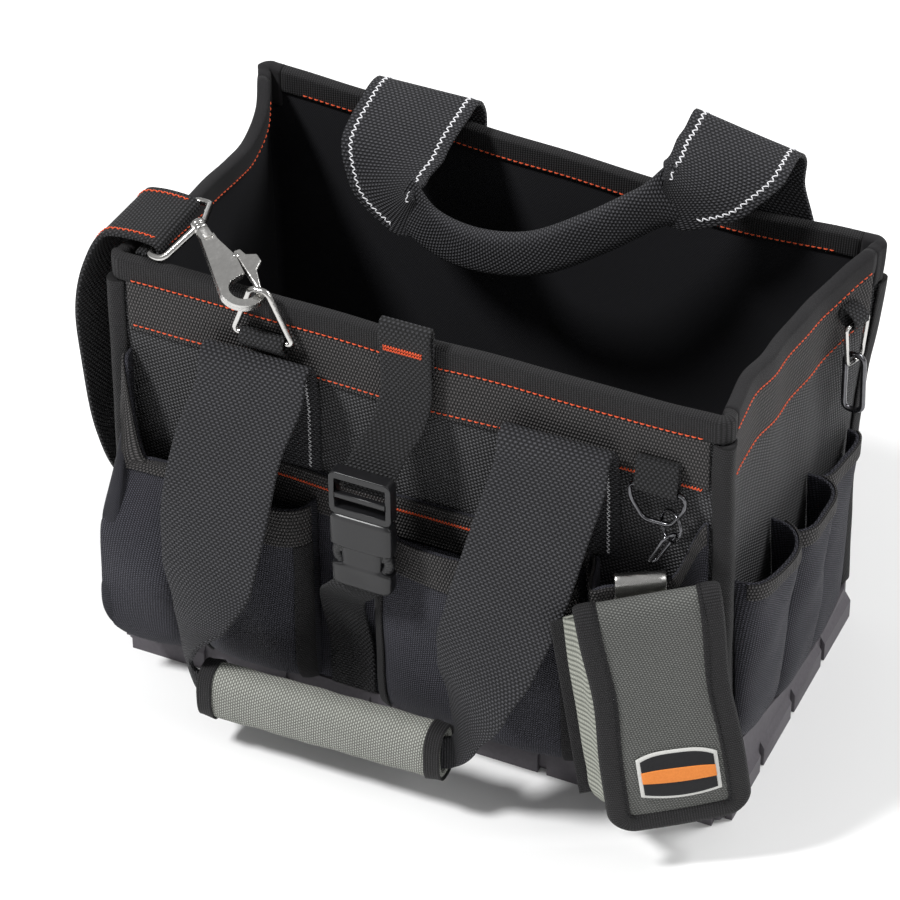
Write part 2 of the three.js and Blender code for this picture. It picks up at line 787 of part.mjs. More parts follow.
// Handles. Rows of each strap hold its middle, the direction across it and its width.
const row = (at, across, width) => ({ at, across, width });
const X = vec(1, 0, 0);
const LEFT_HANDLE_X = -78;
const RIGHT_HANDLE_X = 80;
const ANCHOR_SEAT = GAP + 0.3 + HANDLE_THICK / 2;
const ANCHOR_FOOT = PANEL_TOP + 2 * GAP;
const fold = bandBottom("front", 0);
const GRIP_MIDDLE = vec(-27, -139, 40);
const GRIP_RISE = 2.5;
const gripEnd = (sign) => {
  return GRIP_MIDDLE.clone().add(vec((sign * GRIP_LENGTH) / 2, 0, sign * GRIP_RISE));
};

function frontHandle(x, rows) {
  const up = [
    row(onFront(x, ANCHOR_FOOT, ANCHOR_SEAT), X, HANDLE_WEB),
    row(onFront(x, lerp(ANCHOR_FOOT, fold, 0.5), ANCHOR_SEAT), X, HANDLE_WEB),
    row(onFront(x, fold - 16, ANCHOR_SEAT), X, HANDLE_WEB),
    row(onFront(x, fold - 1, ANCHOR_SEAT + 2.2), X, HANDLE_WEB),
    row(onFront(x, fold + 9, ANCHOR_SEAT + 3.6), X, HANDLE_WEB),
    row(onFront(x, fold + 13, ANCHOR_SEAT + 8), X, HANDLE_WEB),
    row(onFront(x, fold + 11, ANCHOR_SEAT + 13), X, HANDLE_WEB),
    row(onFront(x, fold - 2, ANCHOR_SEAT + 18), X, HANDLE_WEB),
  ];
  return strap([...up, ...rows], HANDLE_THICK, 2);
}

const leftEnd = gripEnd(-1);
add("front_handle_left", frontHandle(LEFT_HANDLE_X, [
  row(vec(LEFT_HANDLE_X - 8, -117, 178), X, HANDLE_WEB),
  row(vec(LEFT_HANDLE_X - 13, -126, 140), X, HANDLE_WEB),
  row(vec(LEFT_HANDLE_X - 15, -133, 106), vec(1, -0.15, 0), HANDLE_WEB * 0.94),
  row(vec(LEFT_HANDLE_X - 17, -138, 83), vec(0.85, -0.4, 0.2), HANDLE_WEB * 0.78),
  row(leftEnd.clone().add(vec(-9, 0, 20)), vec(0.45, -0.5, 0.5), GRIP_WEB * 1.6),
  row(leftEnd.clone().add(vec(-5, 0, 2)), vec(0, -0.2, 1), GRIP_WEB),
  row(leftEnd.clone().add(vec(12, 0, 0)), vec(0, 0, 1), GRIP_WEB + 1.6),
]), MATERIAL.webbing);

const rightEnd = gripEnd(1);
add("front_handle_right", frontHandle(RIGHT_HANDLE_X, [
  row(vec(RIGHT_HANDLE_X - 5, -118, 182), vec(1, 0, -0.06), HANDLE_WEB),
  row(vec(RIGHT_HANDLE_X - 12, -128, 146), vec(1, 0, -0.14), HANDLE_WEB),
  row(vec(RIGHT_HANDLE_X - 21, -135, 112), vec(1, -0.1, -0.2), HANDLE_WEB * 0.94),
  row(vec(RIGHT_HANDLE_X - 27, -139, 88), vec(0.9, -0.3, -0.3), HANDLE_WEB * 0.8),
  row(rightEnd.clone().add(vec(10, 0, 21)), vec(0.55, -0.3, -0.6), GRIP_WEB * 1.6),
  row(rightEnd.clone().add(vec(4, 0, 2)), vec(0.1, -0.2, -1), GRIP_WEB),
  row(rightEnd.clone().add(vec(-12, -2.9, 0)), vec(0, 0, -1), GRIP_WEB + 1.6),
]), MATERIAL.webbing);

// Grip sleeve: a padded tube, open at both ends, wrapped round the handle
function ovalRing(centre, tall, deep, count, axisTall, axisDeep) {
  return steps(count).slice(0, count).map((t) => {
    const angle = t * 2 * Math.PI;
    const c = Math.cos(angle);
    const s = Math.sin(angle);
    const square = 1 / (Math.abs(c) ** 2.6 + Math.abs(s) ** 2.6) ** (1 / 2.6);
    return centre.clone()
      .addScaledVector(axisDeep, (deep / 2) * c * square)
      .addScaledVector(axisTall, (tall / 2) * s * square);
  });
}

function gripSleeve() {
  const count = 12;
  const up = vec(0, 0, 1);
  const out = vec(0, 1, 0);
  const shares = [0, 0.06, 0.35, 0.65, 0.94, 1];
  const place = (t) => gripEnd(-1).lerp(gripEnd(1), t);
  const swellAt = (t) => 1 - 0.08 * ease((0.08 - Math.min(t, 1 - t)) / 0.08);
  const outer = shares.map((t) => {
    return ovalRing(place(t), GRIP_HEIGHT * swellAt(t), GRIP_THICK * swellAt(t), count, up, out);
  });
  const inner = [...shares].reverse().map((t) => {
    const tall = GRIP_HEIGHT * swellAt(t) - 2 * GRIP_WALL;
    const deep = GRIP_THICK * swellAt(t) - 2 * GRIP_WALL;
    return ovalRing(place(t), tall, deep, count, up, out);
  });
  return closedSkin([...outer, ...inner]);
}

// Skin over rings whose last ring joins the first, as on a tube with walls
function closedSkin(rings) {
  const count = rings[0].length;
  const triangles = [];
  for (let r = 0; r < rings.length; r += 1) {
    for (let i = 0; i < count; i += 1) {
      const a = r * count + i;
      const b = r * count + ((i + 1) % count);
      const c = ((r + 1) % rings.length) * count + ((i + 1) % count);
      const d = ((r + 1) % rings.length) * count + i;
      triangles.push([a, b, c], [a, c, d]);
    }
  }
  return solid(rings.flat(), triangles);
}
add("front_grip", gripSleeve(), MATERIAL.grey);

// Back handle: two straps over the back rim, and the middle rolled into a soft grip
const BACK_LEFT_X = -72;
const BACK_RIGHT_X = 99;
const BACK_ANCHOR_FOOT = 120;
const BACK_SEAT = GAP + BAND_THICK + GAP + HANDLE_THICK / 2;
const backRim = (x) => rimAt("back", shareOf("back", x));

function backHandle(x, rows) {
  const up = [
    row(onBack(x, BACK_ANCHOR_FOOT, BACK_SEAT), X, HANDLE_WEB),
    row(onBack(x, BODY_HEIGHT * 0.62, BACK_SEAT), X, HANDLE_WEB),
    row(onBack(x, BODY_HEIGHT * 0.78, BACK_SEAT), X, HANDLE_WEB),
    row(onBack(x, backRim(x) - 8, BACK_SEAT + 1), X, HANDLE_WEB),
  ];
  return strap([...up, ...rows], HANDLE_THICK, 2);
}

const BACK_GRIP = [
  { at: vec(-44, 27, 226), full: 0.8 },
  { at: vec(-20, 25, 222), full: 1 },
  { at: vec(12, 26, 228), full: 1 },
  { at: vec(42, 34, 244), full: 1 },
  { at: vec(64, 44, 258), full: 0.8 },
];
const gripCurve = new THREE.CatmullRomCurve3(BACK_GRIP.map((r) => r.at));
const gripStart = gripCurve.getTangentAt(0);
const gripFinish = gripCurve.getTangentAt(1);
const BACK_STEP = 4;
const leftRim = backRim(BACK_LEFT_X);
const rightRim = backRim(BACK_RIGHT_X);

add("back_handle_left", backHandle(BACK_LEFT_X, [
  row(vec(BACK_LEFT_X, 93, leftRim + 6), X, HANDLE_WEB),
  row(vec(BACK_LEFT_X, 85, leftRim + 16), X, HANDLE_WEB),
  row(vec(BACK_LEFT_X - 1, 68, leftRim + 13), X, HANDLE_WEB),
  row(vec(BACK_LEFT_X - 2, 50, 252), vec(1, 0, 0.05), HANDLE_WEB),
  row(vec(BACK_LEFT_X + 3, 37, 238), vec(0.9, -0.1, 0.35), HANDLE_WEB * 0.85),
  row(vec(BACK_LEFT_X + 13, 29, 228), vec(0.45, -0.2, 0.8), HANDLE_WEB * 0.6),
  row(BACK_GRIP[0].at.clone().addScaledVector(gripStart, -BACK_STEP), vec(0, 0, 1), 16),
]), MATERIAL.webbing);

add("back_handle_right", backHandle(BACK_RIGHT_X, [
  row(vec(BACK_RIGHT_X, 96, rightRim + 18), X, HANDLE_WEB),
  row(vec(BACK_RIGHT_X, 97, rightRim + 35), vec(1, 0, -0.1), HANDLE_WEB),
  row(vec(BACK_RIGHT_X, 88, rightRim + 46), vec(1, 0, -0.22), HANDLE_WEB),
  row(vec(BACK_RIGHT_X - 1, 72, 281), vec(1, 0, -0.22), HANDLE_WEB),
  row(vec(BACK_RIGHT_X - 8, 58, 271), vec(0.85, 0.1, -0.45), HANDLE_WEB * 0.85),
  row(vec(BACK_RIGHT_X - 21, 49, 263), vec(0.35, 0.1, -0.85), HANDLE_WEB * 0.6),
  row(BACK_GRIP[4].at.clone().addScaledVector(gripFinish, BACK_STEP + 2), vec(-0.2, 0, -1), 16),
]), MATERIAL.webbing);

function backGrip() {
  const count = 10;
  const rings = steps(8).map((t) => {
    const centre = gripCurve.getPoint(t);
    const tangent = gripCurve.getTangent(t);
    const up = vec(0, 0, 1).addScaledVector(tangent, -tangent.z).normalize();
    const out = tangent.clone().cross(up);
    const share = readTable(BACK_GRIP.map((r, i) => ({ ...r, t: i / 4 })), "t", "full", t);
    return ovalRing(centre, BACK_GRIP_HEIGHT * share, BACK_GRIP_THICK * share, count, up, out);
  });
  const outline = steps(count).slice(0, count).map((t) => {
    return flat(Math.cos(t * 2 * Math.PI), Math.sin(t * 2 * Math.PI));
  });
  return skin(rings, outline);
}
add("back_grip", backGrip(), MATERIAL.webbing);

// Closure strap: a folded loop over the front rim, then out to the buckle
const CLOSURE_X = 0;
const LOOP_TOP = BODY_HEIGHT + 13;
const STRAP_SEAT = GAP + TAPE + GAP + CLOSURE_THICK / 2;
const BUCKLE_X = -12;
const BUCKLE_Y = -121;
const BUCKLE_TOP = 188;
const buckleBottom = BUCKLE_TOP - BUCKLE_FRAME - BUCKLE_BODY;
const strapLayer = CLOSURE_THICK + GAP;
add("closure_strap_upper", strap([
  row(onFront(CLOSURE_X, BODY_HEIGHT - 14, STRAP_SEAT), X, CLOSURE_WEB),
  row(onFront(CLOSURE_X, BODY_HEIGHT, STRAP_SEAT), X, CLOSURE_WEB),
  row(onFront(CLOSURE_X, LOOP_TOP - 3, STRAP_SEAT), X, CLOSURE_WEB),
  row(onFront(CLOSURE_X, LOOP_TOP, STRAP_SEAT + strapLayer), X, CLOSURE_WEB),
  row(onFront(CLOSURE_X, LOOP_TOP - 5, STRAP_SEAT + 2 * strapLayer), X, CLOSURE_WEB),
  row(onFront(CLOSURE_X, BODY_HEIGHT - 5, STRAP_SEAT + strapLayer * 1.6), X, CLOSURE_WEB),
  row(onFront(CLOSURE_X, BODY_HEIGHT - 30, STRAP_SEAT + strapLayer * 1.6), X, CLOSURE_WEB),
  row(onFront(CLOSURE_X - 2, BODY_HEIGHT - 44, STRAP_SEAT + 10), X, CLOSURE_WEB),
  row(vec(BUCKLE_X + 5, BUCKLE_Y + 13, BUCKLE_TOP + 8), X, CLOSURE_WEB),
  row(vec(BUCKLE_X + 1, BUCKLE_Y + 7, BUCKLE_TOP - 5), X, CLOSURE_WEB),
  row(vec(BUCKLE_X, BUCKLE_Y + 6.5, BUCKLE_TOP - 16), X, CLOSURE_WEB),
], CLOSURE_THICK, 2, 1), MATERIAL.webbing);

const LOWER_X = (RECESS_LEFT + RECESS_RIGHT) / 2;
const LOWER_SEAT = PANEL_OUT + GAP + CLOSURE_THICK / 2;
add("closure_strap_lower", strap([
  row(onFront(LOWER_X, FRONT_FOOT, LOWER_SEAT), X, CLOSURE_WEB - 2),
  row(onFront(LOWER_X, FRONT_FOOT + 30, LOWER_SEAT + 1), X, CLOSURE_WEB - 2),
  row(vec(LOWER_X + 1, BUCKLE_Y + 17, buckleBottom - 30), X, CLOSURE_WEB - 2),
  row(vec(BUCKLE_X - 10, BUCKLE_Y + 3, buckleBottom - 10), X, CLOSURE_WEB - 1),
  row(vec(BUCKLE_X - 2, BUCKLE_Y, buckleBottom - 0.6), X, CLOSURE_WEB),
], CLOSURE_THICK, 3, 1), MATERIAL.webbing);

// Side-release buckle: a hollow body with side windows, and a tongue with its strap frame
const PRONG_WIDTH = 6;
const PRONG_LENGTH = 24;
const BUCKLE_WALL = 1.6;
const FRAME_BAR = 4;
function roundedPlate(width, height, thick, radius) {
  const w = width / 2;
  const shape = new THREE.Shape();
  shape.moveTo(-w + radius, 0);
  shape.lineTo(w - radius, 0);
  shape.absarc(w - radius, radius, radius, -Math.PI / 2, 0);
  shape.lineTo(w, height - radius);
  shape.absarc(w - radius, height - radius, radius, 0, Math.PI / 2);
  shape.lineTo(-w + radius, height);
  shape.absarc(-w + radius, height - radius, radius, Math.PI / 2, Math.PI);
  shape.lineTo(-w, radius);
  shape.absarc(-w + radius, radius, radius, Math.PI, 1.5 * Math.PI);
  const geometry = extrude(shape, thick, 3);
  geometry.rotateX(Math.PI / 2);
  geometry.translate(0, thick / 2, 0);
  return geometry;
}

function placeBuckle(body, z) {
  const geometry = fromManifold(body);
  geometry.translate(BUCKLE_X, BUCKLE_Y, z);
  return geometry;
}

function buckleBody() {
  const w = BUCKLE_WIDTH / 2;
  const t = BUCKLE_THICK / 2 - BUCKLE_WALL;
  const plate = toManifold(roundedPlate(BUCKLE_WIDTH, BUCKLE_BODY, BUCKLE_THICK, 2));
  const slotDeep = BUCKLE_BODY - PRONG_LENGTH - 4;
  const slot = toManifold(box(-w + 3, w - 3, -t, t, slotDeep, BUCKLE_BODY + 1));
  const window = (sign) => {
    const x0 = sign > 0 ? w - 4 : -w - 1;
    const low = BUCKLE_BODY - PRONG_LENGTH + 2;
    return toManifold(box(x0, x0 + 5, -t, t, low, low + 12));
  };
  return plate.subtract(slot).subtract(window(1)).subtract(window(-1));
}
add("buckle_body", placeBuckle(buckleBody(), buckleBottom), MATERIAL.plastic);

function buckleTongue() {
  const w = BUCKLE_WIDTH / 2;
  const t = BUCKLE_THICK / 2 - BUCKLE_WALL - GAP;
  const frame = toManifold(roundedPlate(BUCKLE_WIDTH, BUCKLE_FRAME - GAP, BUCKLE_THICK - 2, 4));
  const window = toManifold(box(-w + 3, w - 3, -10, 10, 4, BUCKLE_FRAME - GAP - FRAME_BAR));
  const slotWidth = w - 3 - GAP;
  const prong = (sign) => {
    const x0 = sign > 0 ? slotWidth - PRONG_WIDTH : -slotWidth;
    return toManifold(box(x0, x0 + PRONG_WIDTH, -t, t, -PRONG_LENGTH, 1));
  };
  const guide = toManifold(box(-4, 4, -t, t, -PRONG_LENGTH + 4, 1));
  const bar = toManifold(box(-w + 2, w - 2, -3.4, -0.4, 10, 13));
  return frame.subtract(window).add(prong(1)).add(prong(-1)).add(guide).add(bar);
}
add("buckle_tongue", placeBuckle(buckleTongue(), buckleBottom + BUCKLE_BODY + GAP), MATERIAL.plastic);

// Triangular ring on the front wall, in its webbing tab
const RING_X = -76;
const RING_FOOT = 232;
const RING_APEX = 260;
const RING_HALF = 16;
const RING_OUT = GAP + BAND_THICK + TAPE + 2 * GAP + RING_WIRE / 2 + 1;
function roundLoop(corners, radius) {
  const path = new THREE.CurvePath();
  const count = corners.length;
  const trim = (from, to) => {
    const reach = Math.min(radius / from.distanceTo(to), 0.45);
    return from.clone().lerp(to, reach);
  };
  for (let i = 0; i < count; i += 1) {
    const before = corners[(i + count - 1) % count];
    const here = corners[i];
    const after = corners[(i + 1) % count];
    path.add(new THREE.QuadraticBezierCurve3(trim(here, before), here, trim(here, after)));
    path.add(new THREE.LineCurve3(trim(here, after), trim(after, here)));
  }
  return path;
}

// A loop of wire through points of a path, as a smooth closed curve
function loopWire(corners, radius, diameter, segments) {
  const path = roundLoop(corners, radius);
  const points = steps(segments).slice(0, segments).map((t) => path.getPointAt(t));
  const curve = new THREE.CatmullRomCurve3(points, true, "centripetal");
  return wire(curve, diameter, segments, true, diameter > 3 ? 6 : 5);
}
const hangingLoop = (place, corners, radius, diameter, segments) => {
  const points = corners.map(([across, z, out]) => place(across, z, out));
  return loopWire(points, radius, diameter, segments);
};
const frontPlumb = (x, z, out) => {
  const p = onFront(x, Math.min(z, BODY_HEIGHT - RIM_LEG), out);
  return vec(x, p.y, z);
};
add("triangle_ring", hangingLoop(frontPlumb, [
  [RING_X - RING_HALF, RING_FOOT, RING_OUT],
  [RING_X + RING_HALF, RING_FOOT, RING_OUT],
  [RING_X + 3.5, RING_APEX, RING_OUT],
  [RING_X - 5.5, RING_APEX, RING_OUT],
], 3, RING_WIRE, 24), MATERIAL.steel);

// Folded webbing tab round the bar of a ring: from the wall, round the bar and back.
// It goes down from the bar where way is 1, and up from it where way is -1.
function ringTab(place, across, shape) {
  const { z, out, width, wireSize, drop, seat, way } = shape;
  const along = place(across + width / 2, z, 0).sub(place(across - width / 2, z, 0)).normalize();
  const r = wireSize / 2 + 2 * GAP + TAPE / 2;
  const at = (height, reach) => place(across, height, reach);
  return strap([
    row(at(z - way * drop, seat), along, width),
    row(at(z - way * r * 0.8, seat), along, width),
    row(at(z + way * r * 0.2, out - r), along, width),
    row(at(z + way * r, out), along, width),
    row(at(z, out + r), along, width),
    row(at(z - way * r * 1.4, out + r * 0.7), along, width),
    row(at(z - way * drop, seat + TAPE + GAP), along, width),
  ], TAPE, 2, 1);
}
const TAB_SEAT = GAP + BAND_THICK + GAP + TAPE / 2;
add("ring_tab", ringTab(onFront, RING_X, {
  z: RING_FOOT,
  out: RING_OUT,
  width: 2 * RING_HALF - 9,
  wireSize: RING_WIRE,
  drop: 9,
  seat: TAB_SEAT + 0.3,
  way: 1,
}), MATERIAL.webbing);

// D-ring at the front right, hung from the band, with a split ring and a small link
const D_X = 129;
const D_BAR = 206;
const D_HALF = 14;
const D_DROP = 20;
const D_WIRE = 2.4;
const D_OUT = 6;
add("d_ring_tab", ringTab(onFront, D_X, {
  z: D_BAR,
  out: D_OUT,
  width: 2 * D_HALF - 7,
  wireSize: D_WIRE,
  drop: 16,
  seat: TAB_SEAT + 0.3,
  way: -1,
}), MATERIAL.webbing);
add("d_ring", hangingLoop(onFront, [
  [D_X - D_HALF, D_BAR, D_OUT],
  [D_X + D_HALF, D_BAR, D_OUT],
  [D_X + D_HALF, D_BAR - D_DROP * 0.4, D_OUT],
  [D_X + D_HALF * 0.5, D_BAR - D_DROP, D_OUT],
  [D_X - D_HALF * 0.5, D_BAR - D_DROP, D_OUT],
  [D_X - D_HALF, D_BAR - D_DROP * 0.4, D_OUT],
], 3.4, D_WIRE, 24), MATERIAL.darkSteel);

// A round wire ring about a centre, in the plane of two directions
function roundRing(centre, a, b, diameter, wireSize, segments) {
  const points = steps(segments).slice(0, segments).map((t) => {
    const angle = t * 2 * Math.PI;
    return centre.clone()
      .addScaledVector(a, (Math.cos(angle) * diameter) / 2)
      .addScaledVector(b, (Math.sin(angle) * diameter) / 2);
  });
  return wire(new THREE.CatmullRomCurve3(points, true, "centripetal"), wireSize, segments, true, 5);
}
const Z = vec(0, 0, 1);
const splitAt = vec(D_X + 8, onFront(D_X, D_BAR, D_OUT + 3).y, D_BAR - D_DROP + 3);
const splitAcross = vec(0.75, -0.6, 0.25).normalize();
add("split_ring", roundRing(splitAt, splitAcross, Z, SPLIT_RING, 2, 20), MATERIAL.darkSteel);
const linkAcross = vec(0.6, 0.75, 0).normalize();
const linkTop = splitAt.clone().addScaledVector(Z, -SPLIT_RING / 2 + 3);
const linkFoot = linkTop.clone().add(vec(-8, -2, -17));
add("ring_link", loopWire([
  linkTop.clone().addScaledVector(linkAcross, -3.4),
  linkTop.clone().addScaledVector(linkAcross, 3.4),
  linkFoot.clone().addScaledVector(linkAcross, 2.4),
  linkFoot.clone().addScaledVector(linkAcross, -2.4),
], 2.4, 2, 16), MATERIAL.darkSteel);

// Swivel snap hook, lying over the front left of the rim
const HOOK_START = vec(-115, -75, BODY_HEIGHT + 16.5);
const HOOK_DIRECTION = vec(0.798, -0.546, -0.252).normalize();
const HOOK_ACROSS = vec(0.565, 0.825, 0).normalize();
const hookBasis = new THREE.Matrix4().makeBasis(
  HOOK_DIRECTION,
  HOOK_ACROSS,
  HOOK_DIRECTION.clone().cross(HOOK_ACROSS),
);
const hook = new THREE.Group();
hook.position.copy(HOOK_START);
hook.quaternion.setFromRotationMatrix(hookBasis);
tote.add(hook);

const THROAT = 7;
const HOOK_WIRE = 4.4;
const throatAt = HOOK_LENGTH - THROAT - HOOK_WIRE;
const BARREL = 7.5;
const PIVOT = flat(17, 8.5);

function hookPlate() {
  const outer = THROAT + HOOK_WIRE;
  const shape = new THREE.Shape();
  shape.moveTo(0, -3.6);
  shape.lineTo(throatAt - 4, -outer + 0.6);
  shape.absarc(throatAt, 0, outer, -Math.PI * 0.6, Math.PI * 0.3);
  shape.absarc(throatAt, 0, THROAT, Math.PI * 0.3, -Math.PI * 0.98, true);
  shape.lineTo(throatAt - THROAT - 1, 5);
  shape.lineTo(PIVOT.x + 3, 6.2);
  shape.lineTo(PIVOT.x, 6.5);
  shape.lineTo(4, 3.6);
  shape.lineTo(0, 3.6);
  const plate = extrude(shape, HOOK_THICK, 10);
  plate.translate(0, 0, -HOOK_THICK / 2);
  const neck = new THREE.CylinderGeometry(BARREL / 2, BARREL / 2, 6, 10);
  neck.rotateZ(Math.PI / 2);
  neck.translate(-1, 0, 0);
  return fromManifold(toManifold(plate).add(toManifold(neck)));
}
add("hook_body", hookPlate(), MATERIAL.steel, hook);

// Gate lever of the hook: it turns about its rivet and closes inside the hook's nose
function gateLever() {
  const tip = PIVOT.x + 23.2;
  const shape = new THREE.Shape();
  shape.moveTo(PIVOT.x - 3, PIVOT.y + 2);
  shape.lineTo(PIVOT.x - 3, PIVOT.y - 1.6);
  shape.lineTo(tip, PIVOT.y - 2.1);
  shape.lineTo(tip + 0.2, PIVOT.y - 0.4);
  shape.lineTo(PIVOT.x + 12, PIVOT.y + 3.2);
  shape.lineTo(PIVOT.x + 8, PIVOT.y + 8);
  shape.lineTo(PIVOT.x + 3, PIVOT.y + 8);
  shape.lineTo(PIVOT.x + 1, PIVOT.y + 3);
  const geometry = extrude(shape, GATE_THICK);
  geometry.translate(0, 0, -GATE_THICK / 2);
  return geometry;
}
add("hook_gate", gateLever(), MATERIAL.steel, hook);

// Square wire loop of the hook, soldered to the upper swivel collar
const LOOP_BAR = vec(-143, -59, BODY_HEIGHT + 4);
const LOOP_HALF = SHOULDER_WEB / 2 + 4;
const collarAt = HOOK_START.clone().addScaledVector(HOOK_DIRECTION, -4 - GAP);
function strapLoop() {
  const back = vec(0, 1, 0);
  const neck = collarAt.clone().addScaledVector(HOOK_DIRECTION, -3);
  const side = HOOK_ACROSS;
  const corners = [
    LOOP_BAR.clone().addScaledVector(back, -LOOP_HALF),
    LOOP_BAR.clone().addScaledVector(back, LOOP_HALF),
    LOOP_BAR.clone().addScaledVector(back, LOOP_HALF).add(vec(9, -1, 1)),
    neck.clone().addScaledVector(side, 1.5),
    neck.clone().addScaledVector(side, -1.5),
    LOOP_BAR.clone().addScaledVector(back, -LOOP_HALF).add(vec(9, -2, 1)),
  ];
  const loop = toManifold(loopWire(corners, 4, LOOP_WIRE, 28));
  const collar = new THREE.CylinderGeometry(BARREL / 2, BARREL / 2, 6, 10);
  collar.rotateZ(Math.PI / 2);
  collar.translate(-3, 0, 0);
  collar.applyMatrix4(hookBasis);
  collar.translate(collarAt.x, collarAt.y, collarAt.z);
  return fromManifold(loop.add(toManifold(collar)));
}
add("strap_loop", strapLoop(), MATERIAL.steel);

// Shoulder strap: round the loop's bar, over the left rim, down outside the left wall, and the
// plain way round the back to its far hook
const Y = vec(0, 1, 0);
const SHOULDER_OUT = 14;
const barReach = LOOP_WIRE / 2 + 2 * GAP + SHOULDER_THICK / 2;
const REAR_HOOK = { x: 136, z: 196 };
const roundBar = (degrees) => {
  const angle = THREE.MathUtils.degToRad(degrees);
  return LOOP_BAR.clone().add(vec(Math.cos(angle) * barReach, 0, Math.sin(angle) * barReach));
};
const fromBar = (x, z) => LOOP_BAR.clone().add(vec(x, 0, z));
const SHOULDER_ROWS = [
  row(fromBar(-8, -barReach), Y, SHOULDER_WEB),
  row(roundBar(-90), Y, SHOULDER_WEB),
  row(roundBar(-40), Y, SHOULDER_WEB),
  row(roundBar(0), Y, SHOULDER_WEB),
  row(roundBar(40), Y, SHOULDER_WEB),
  row(roundBar(90), Y, SHOULDER_WEB),
  row(fromBar(-17, barReach), Y, SHOULDER_WEB),
  row(fromBar(-26, barReach - 3), vec(0.05, 1, 0), SHOULDER_WEB),
  row(vec(-176, -63, 238), vec(0.16, 1, 0), SHOULDER_WEB),
  row(vec(-178, -67, 212), vec(0.25, 1, 0), SHOULDER_WEB),
  row(vec(-178, -66, 176), vec(0.2, 1, 0.08), SHOULDER_WEB),
  row(vec(-180, -60, 136), vec(0.05, 1, 0.25), SHOULDER_WEB),
  row(vec(-181, -42, 98), vec(0, 0.85, 0.5), SHOULDER_WEB),
  row(vec(-181, -4, 72), vec(0, 0.5, 0.86), SHOULDER_WEB),
  row(vec(-181, 50, 64), vec(0, 0.1, 1), SHOULDER_WEB),
  row(vec(-174, 92, 64), vec(0.05, 0.05, 1), SHOULDER_WEB),
  row(vec(-140, 104, 64), vec(0, 0, 1), SHOULDER_WEB),
  row(vec(-60, 103, 76), vec(-0.25, 0, 0.97), SHOULDER_WEB),
  row(vec(20, 103, 102), vec(-0.45, 0, 0.9), SHOULDER_WEB),
  row(vec(84, 103, 140), vec(-0.6, 0, 0.8), SHOULDER_WEB),
  row(vec(REAR_HOOK.x - 16, 103, REAR_HOOK.z - 20), vec(-0.8, 0, 0.6), SHOULDER_WEB),
];
add("shoulder_strap", strap(SHOULDER_ROWS, SHOULDER_THICK, 1), MATERIAL.webbing);

// Far end of the shoulder strap, hidden behind the body: a plain hook, its ring and tab
const rearPlumb = (x, z, out) => vec(x, BODY_DEPTH / 2 + out, z);
const REAR_RING_Z = 214;
add("rear_hook", hangingLoop(rearPlumb, [
  [REAR_HOOK.x - 27, REAR_HOOK.z - 2, SHOULDER_OUT + 5.4],
  [REAR_HOOK.x - 1, REAR_HOOK.z - 28, SHOULDER_OUT + 5.4],
  [REAR_HOOK.x + 7, REAR_HOOK.z - 3, SHOULDER_OUT - 2],
  [REAR_HOOK.x + 3, REAR_HOOK.z + 3, SHOULDER_OUT - 2],
], 5, LOOP_WIRE, 20), MATERIAL.steel);
add("rear_ring", hangingLoop(rearPlumb, [
  [REAR_HOOK.x - 3, REAR_RING_Z, 6.6],
  [REAR_HOOK.x + 20, REAR_RING_Z, 6.6],
  [REAR_HOOK.x + 3, REAR_HOOK.z - 5, 8.7],
  [REAR_HOOK.x - 5, REAR_HOOK.z - 5, 8.7],
], 2.5, RING_WIRE, 20), MATERIAL.steel);
add("rear_tab", ringTab(onBack, REAR_HOOK.x - 1, {
  z: REAR_RING_Z,
  out: 7,
  width: 12,
  wireSize: RING_WIRE,
  drop: 14,
  seat: TAB_SEAT + 0.3,
  way: -1,
}), MATERIAL.webbing);

// Right side: a folded tab under the band, a steel ring and a dark clip that hangs from it
const SIDE_Y = 58;
const SIDE_BAR = 213;
const SIDE_OUT = 8.5;
const SIDE_RING = 24;
add("side_tab", ringTab(onRight, SIDE_Y, {
  z: SIDE_BAR,
  out: SIDE_OUT,
  width: 10,
  wireSize: 2.4,
  drop: 9,
  seat: TAB_SEAT + 0.3,
  way: -1,
}), MATERIAL.webbing);
const sidePlumb = (y, z, out) => vec(onRight(y, SIDE_BAR, out).x, y, z);
add("side_ring", hangingLoop(sidePlumb, [
  [SIDE_Y - 8, SIDE_BAR, SIDE_OUT],
  [SIDE_Y + 8, SIDE_BAR, SIDE_OUT],
  [SIDE_Y + 5, SIDE_BAR - SIDE_RING, SIDE_OUT],
  [SIDE_Y - 5, SIDE_BAR - SIDE_RING, SIDE_OUT],
], 2.4, 2.4, 20), MATERIAL.steel);
const sideClipTop = SIDE_BAR - SIDE_RING + 3.6;
add("side_clip", loopWire([
  sidePlumb(SIDE_Y, sideClipTop, SIDE_OUT - 4.5),
  sidePlumb(SIDE_Y, sideClipTop, SIDE_OUT + 5),
  sidePlumb(SIDE_Y, sideClipTop - 34, SIDE_OUT + 6),
  sidePlumb(SIDE_Y, sideClipTop - 34, SIDE_OUT - 4),
], 4.5, 3, 20), MATERIAL.darkSteel);

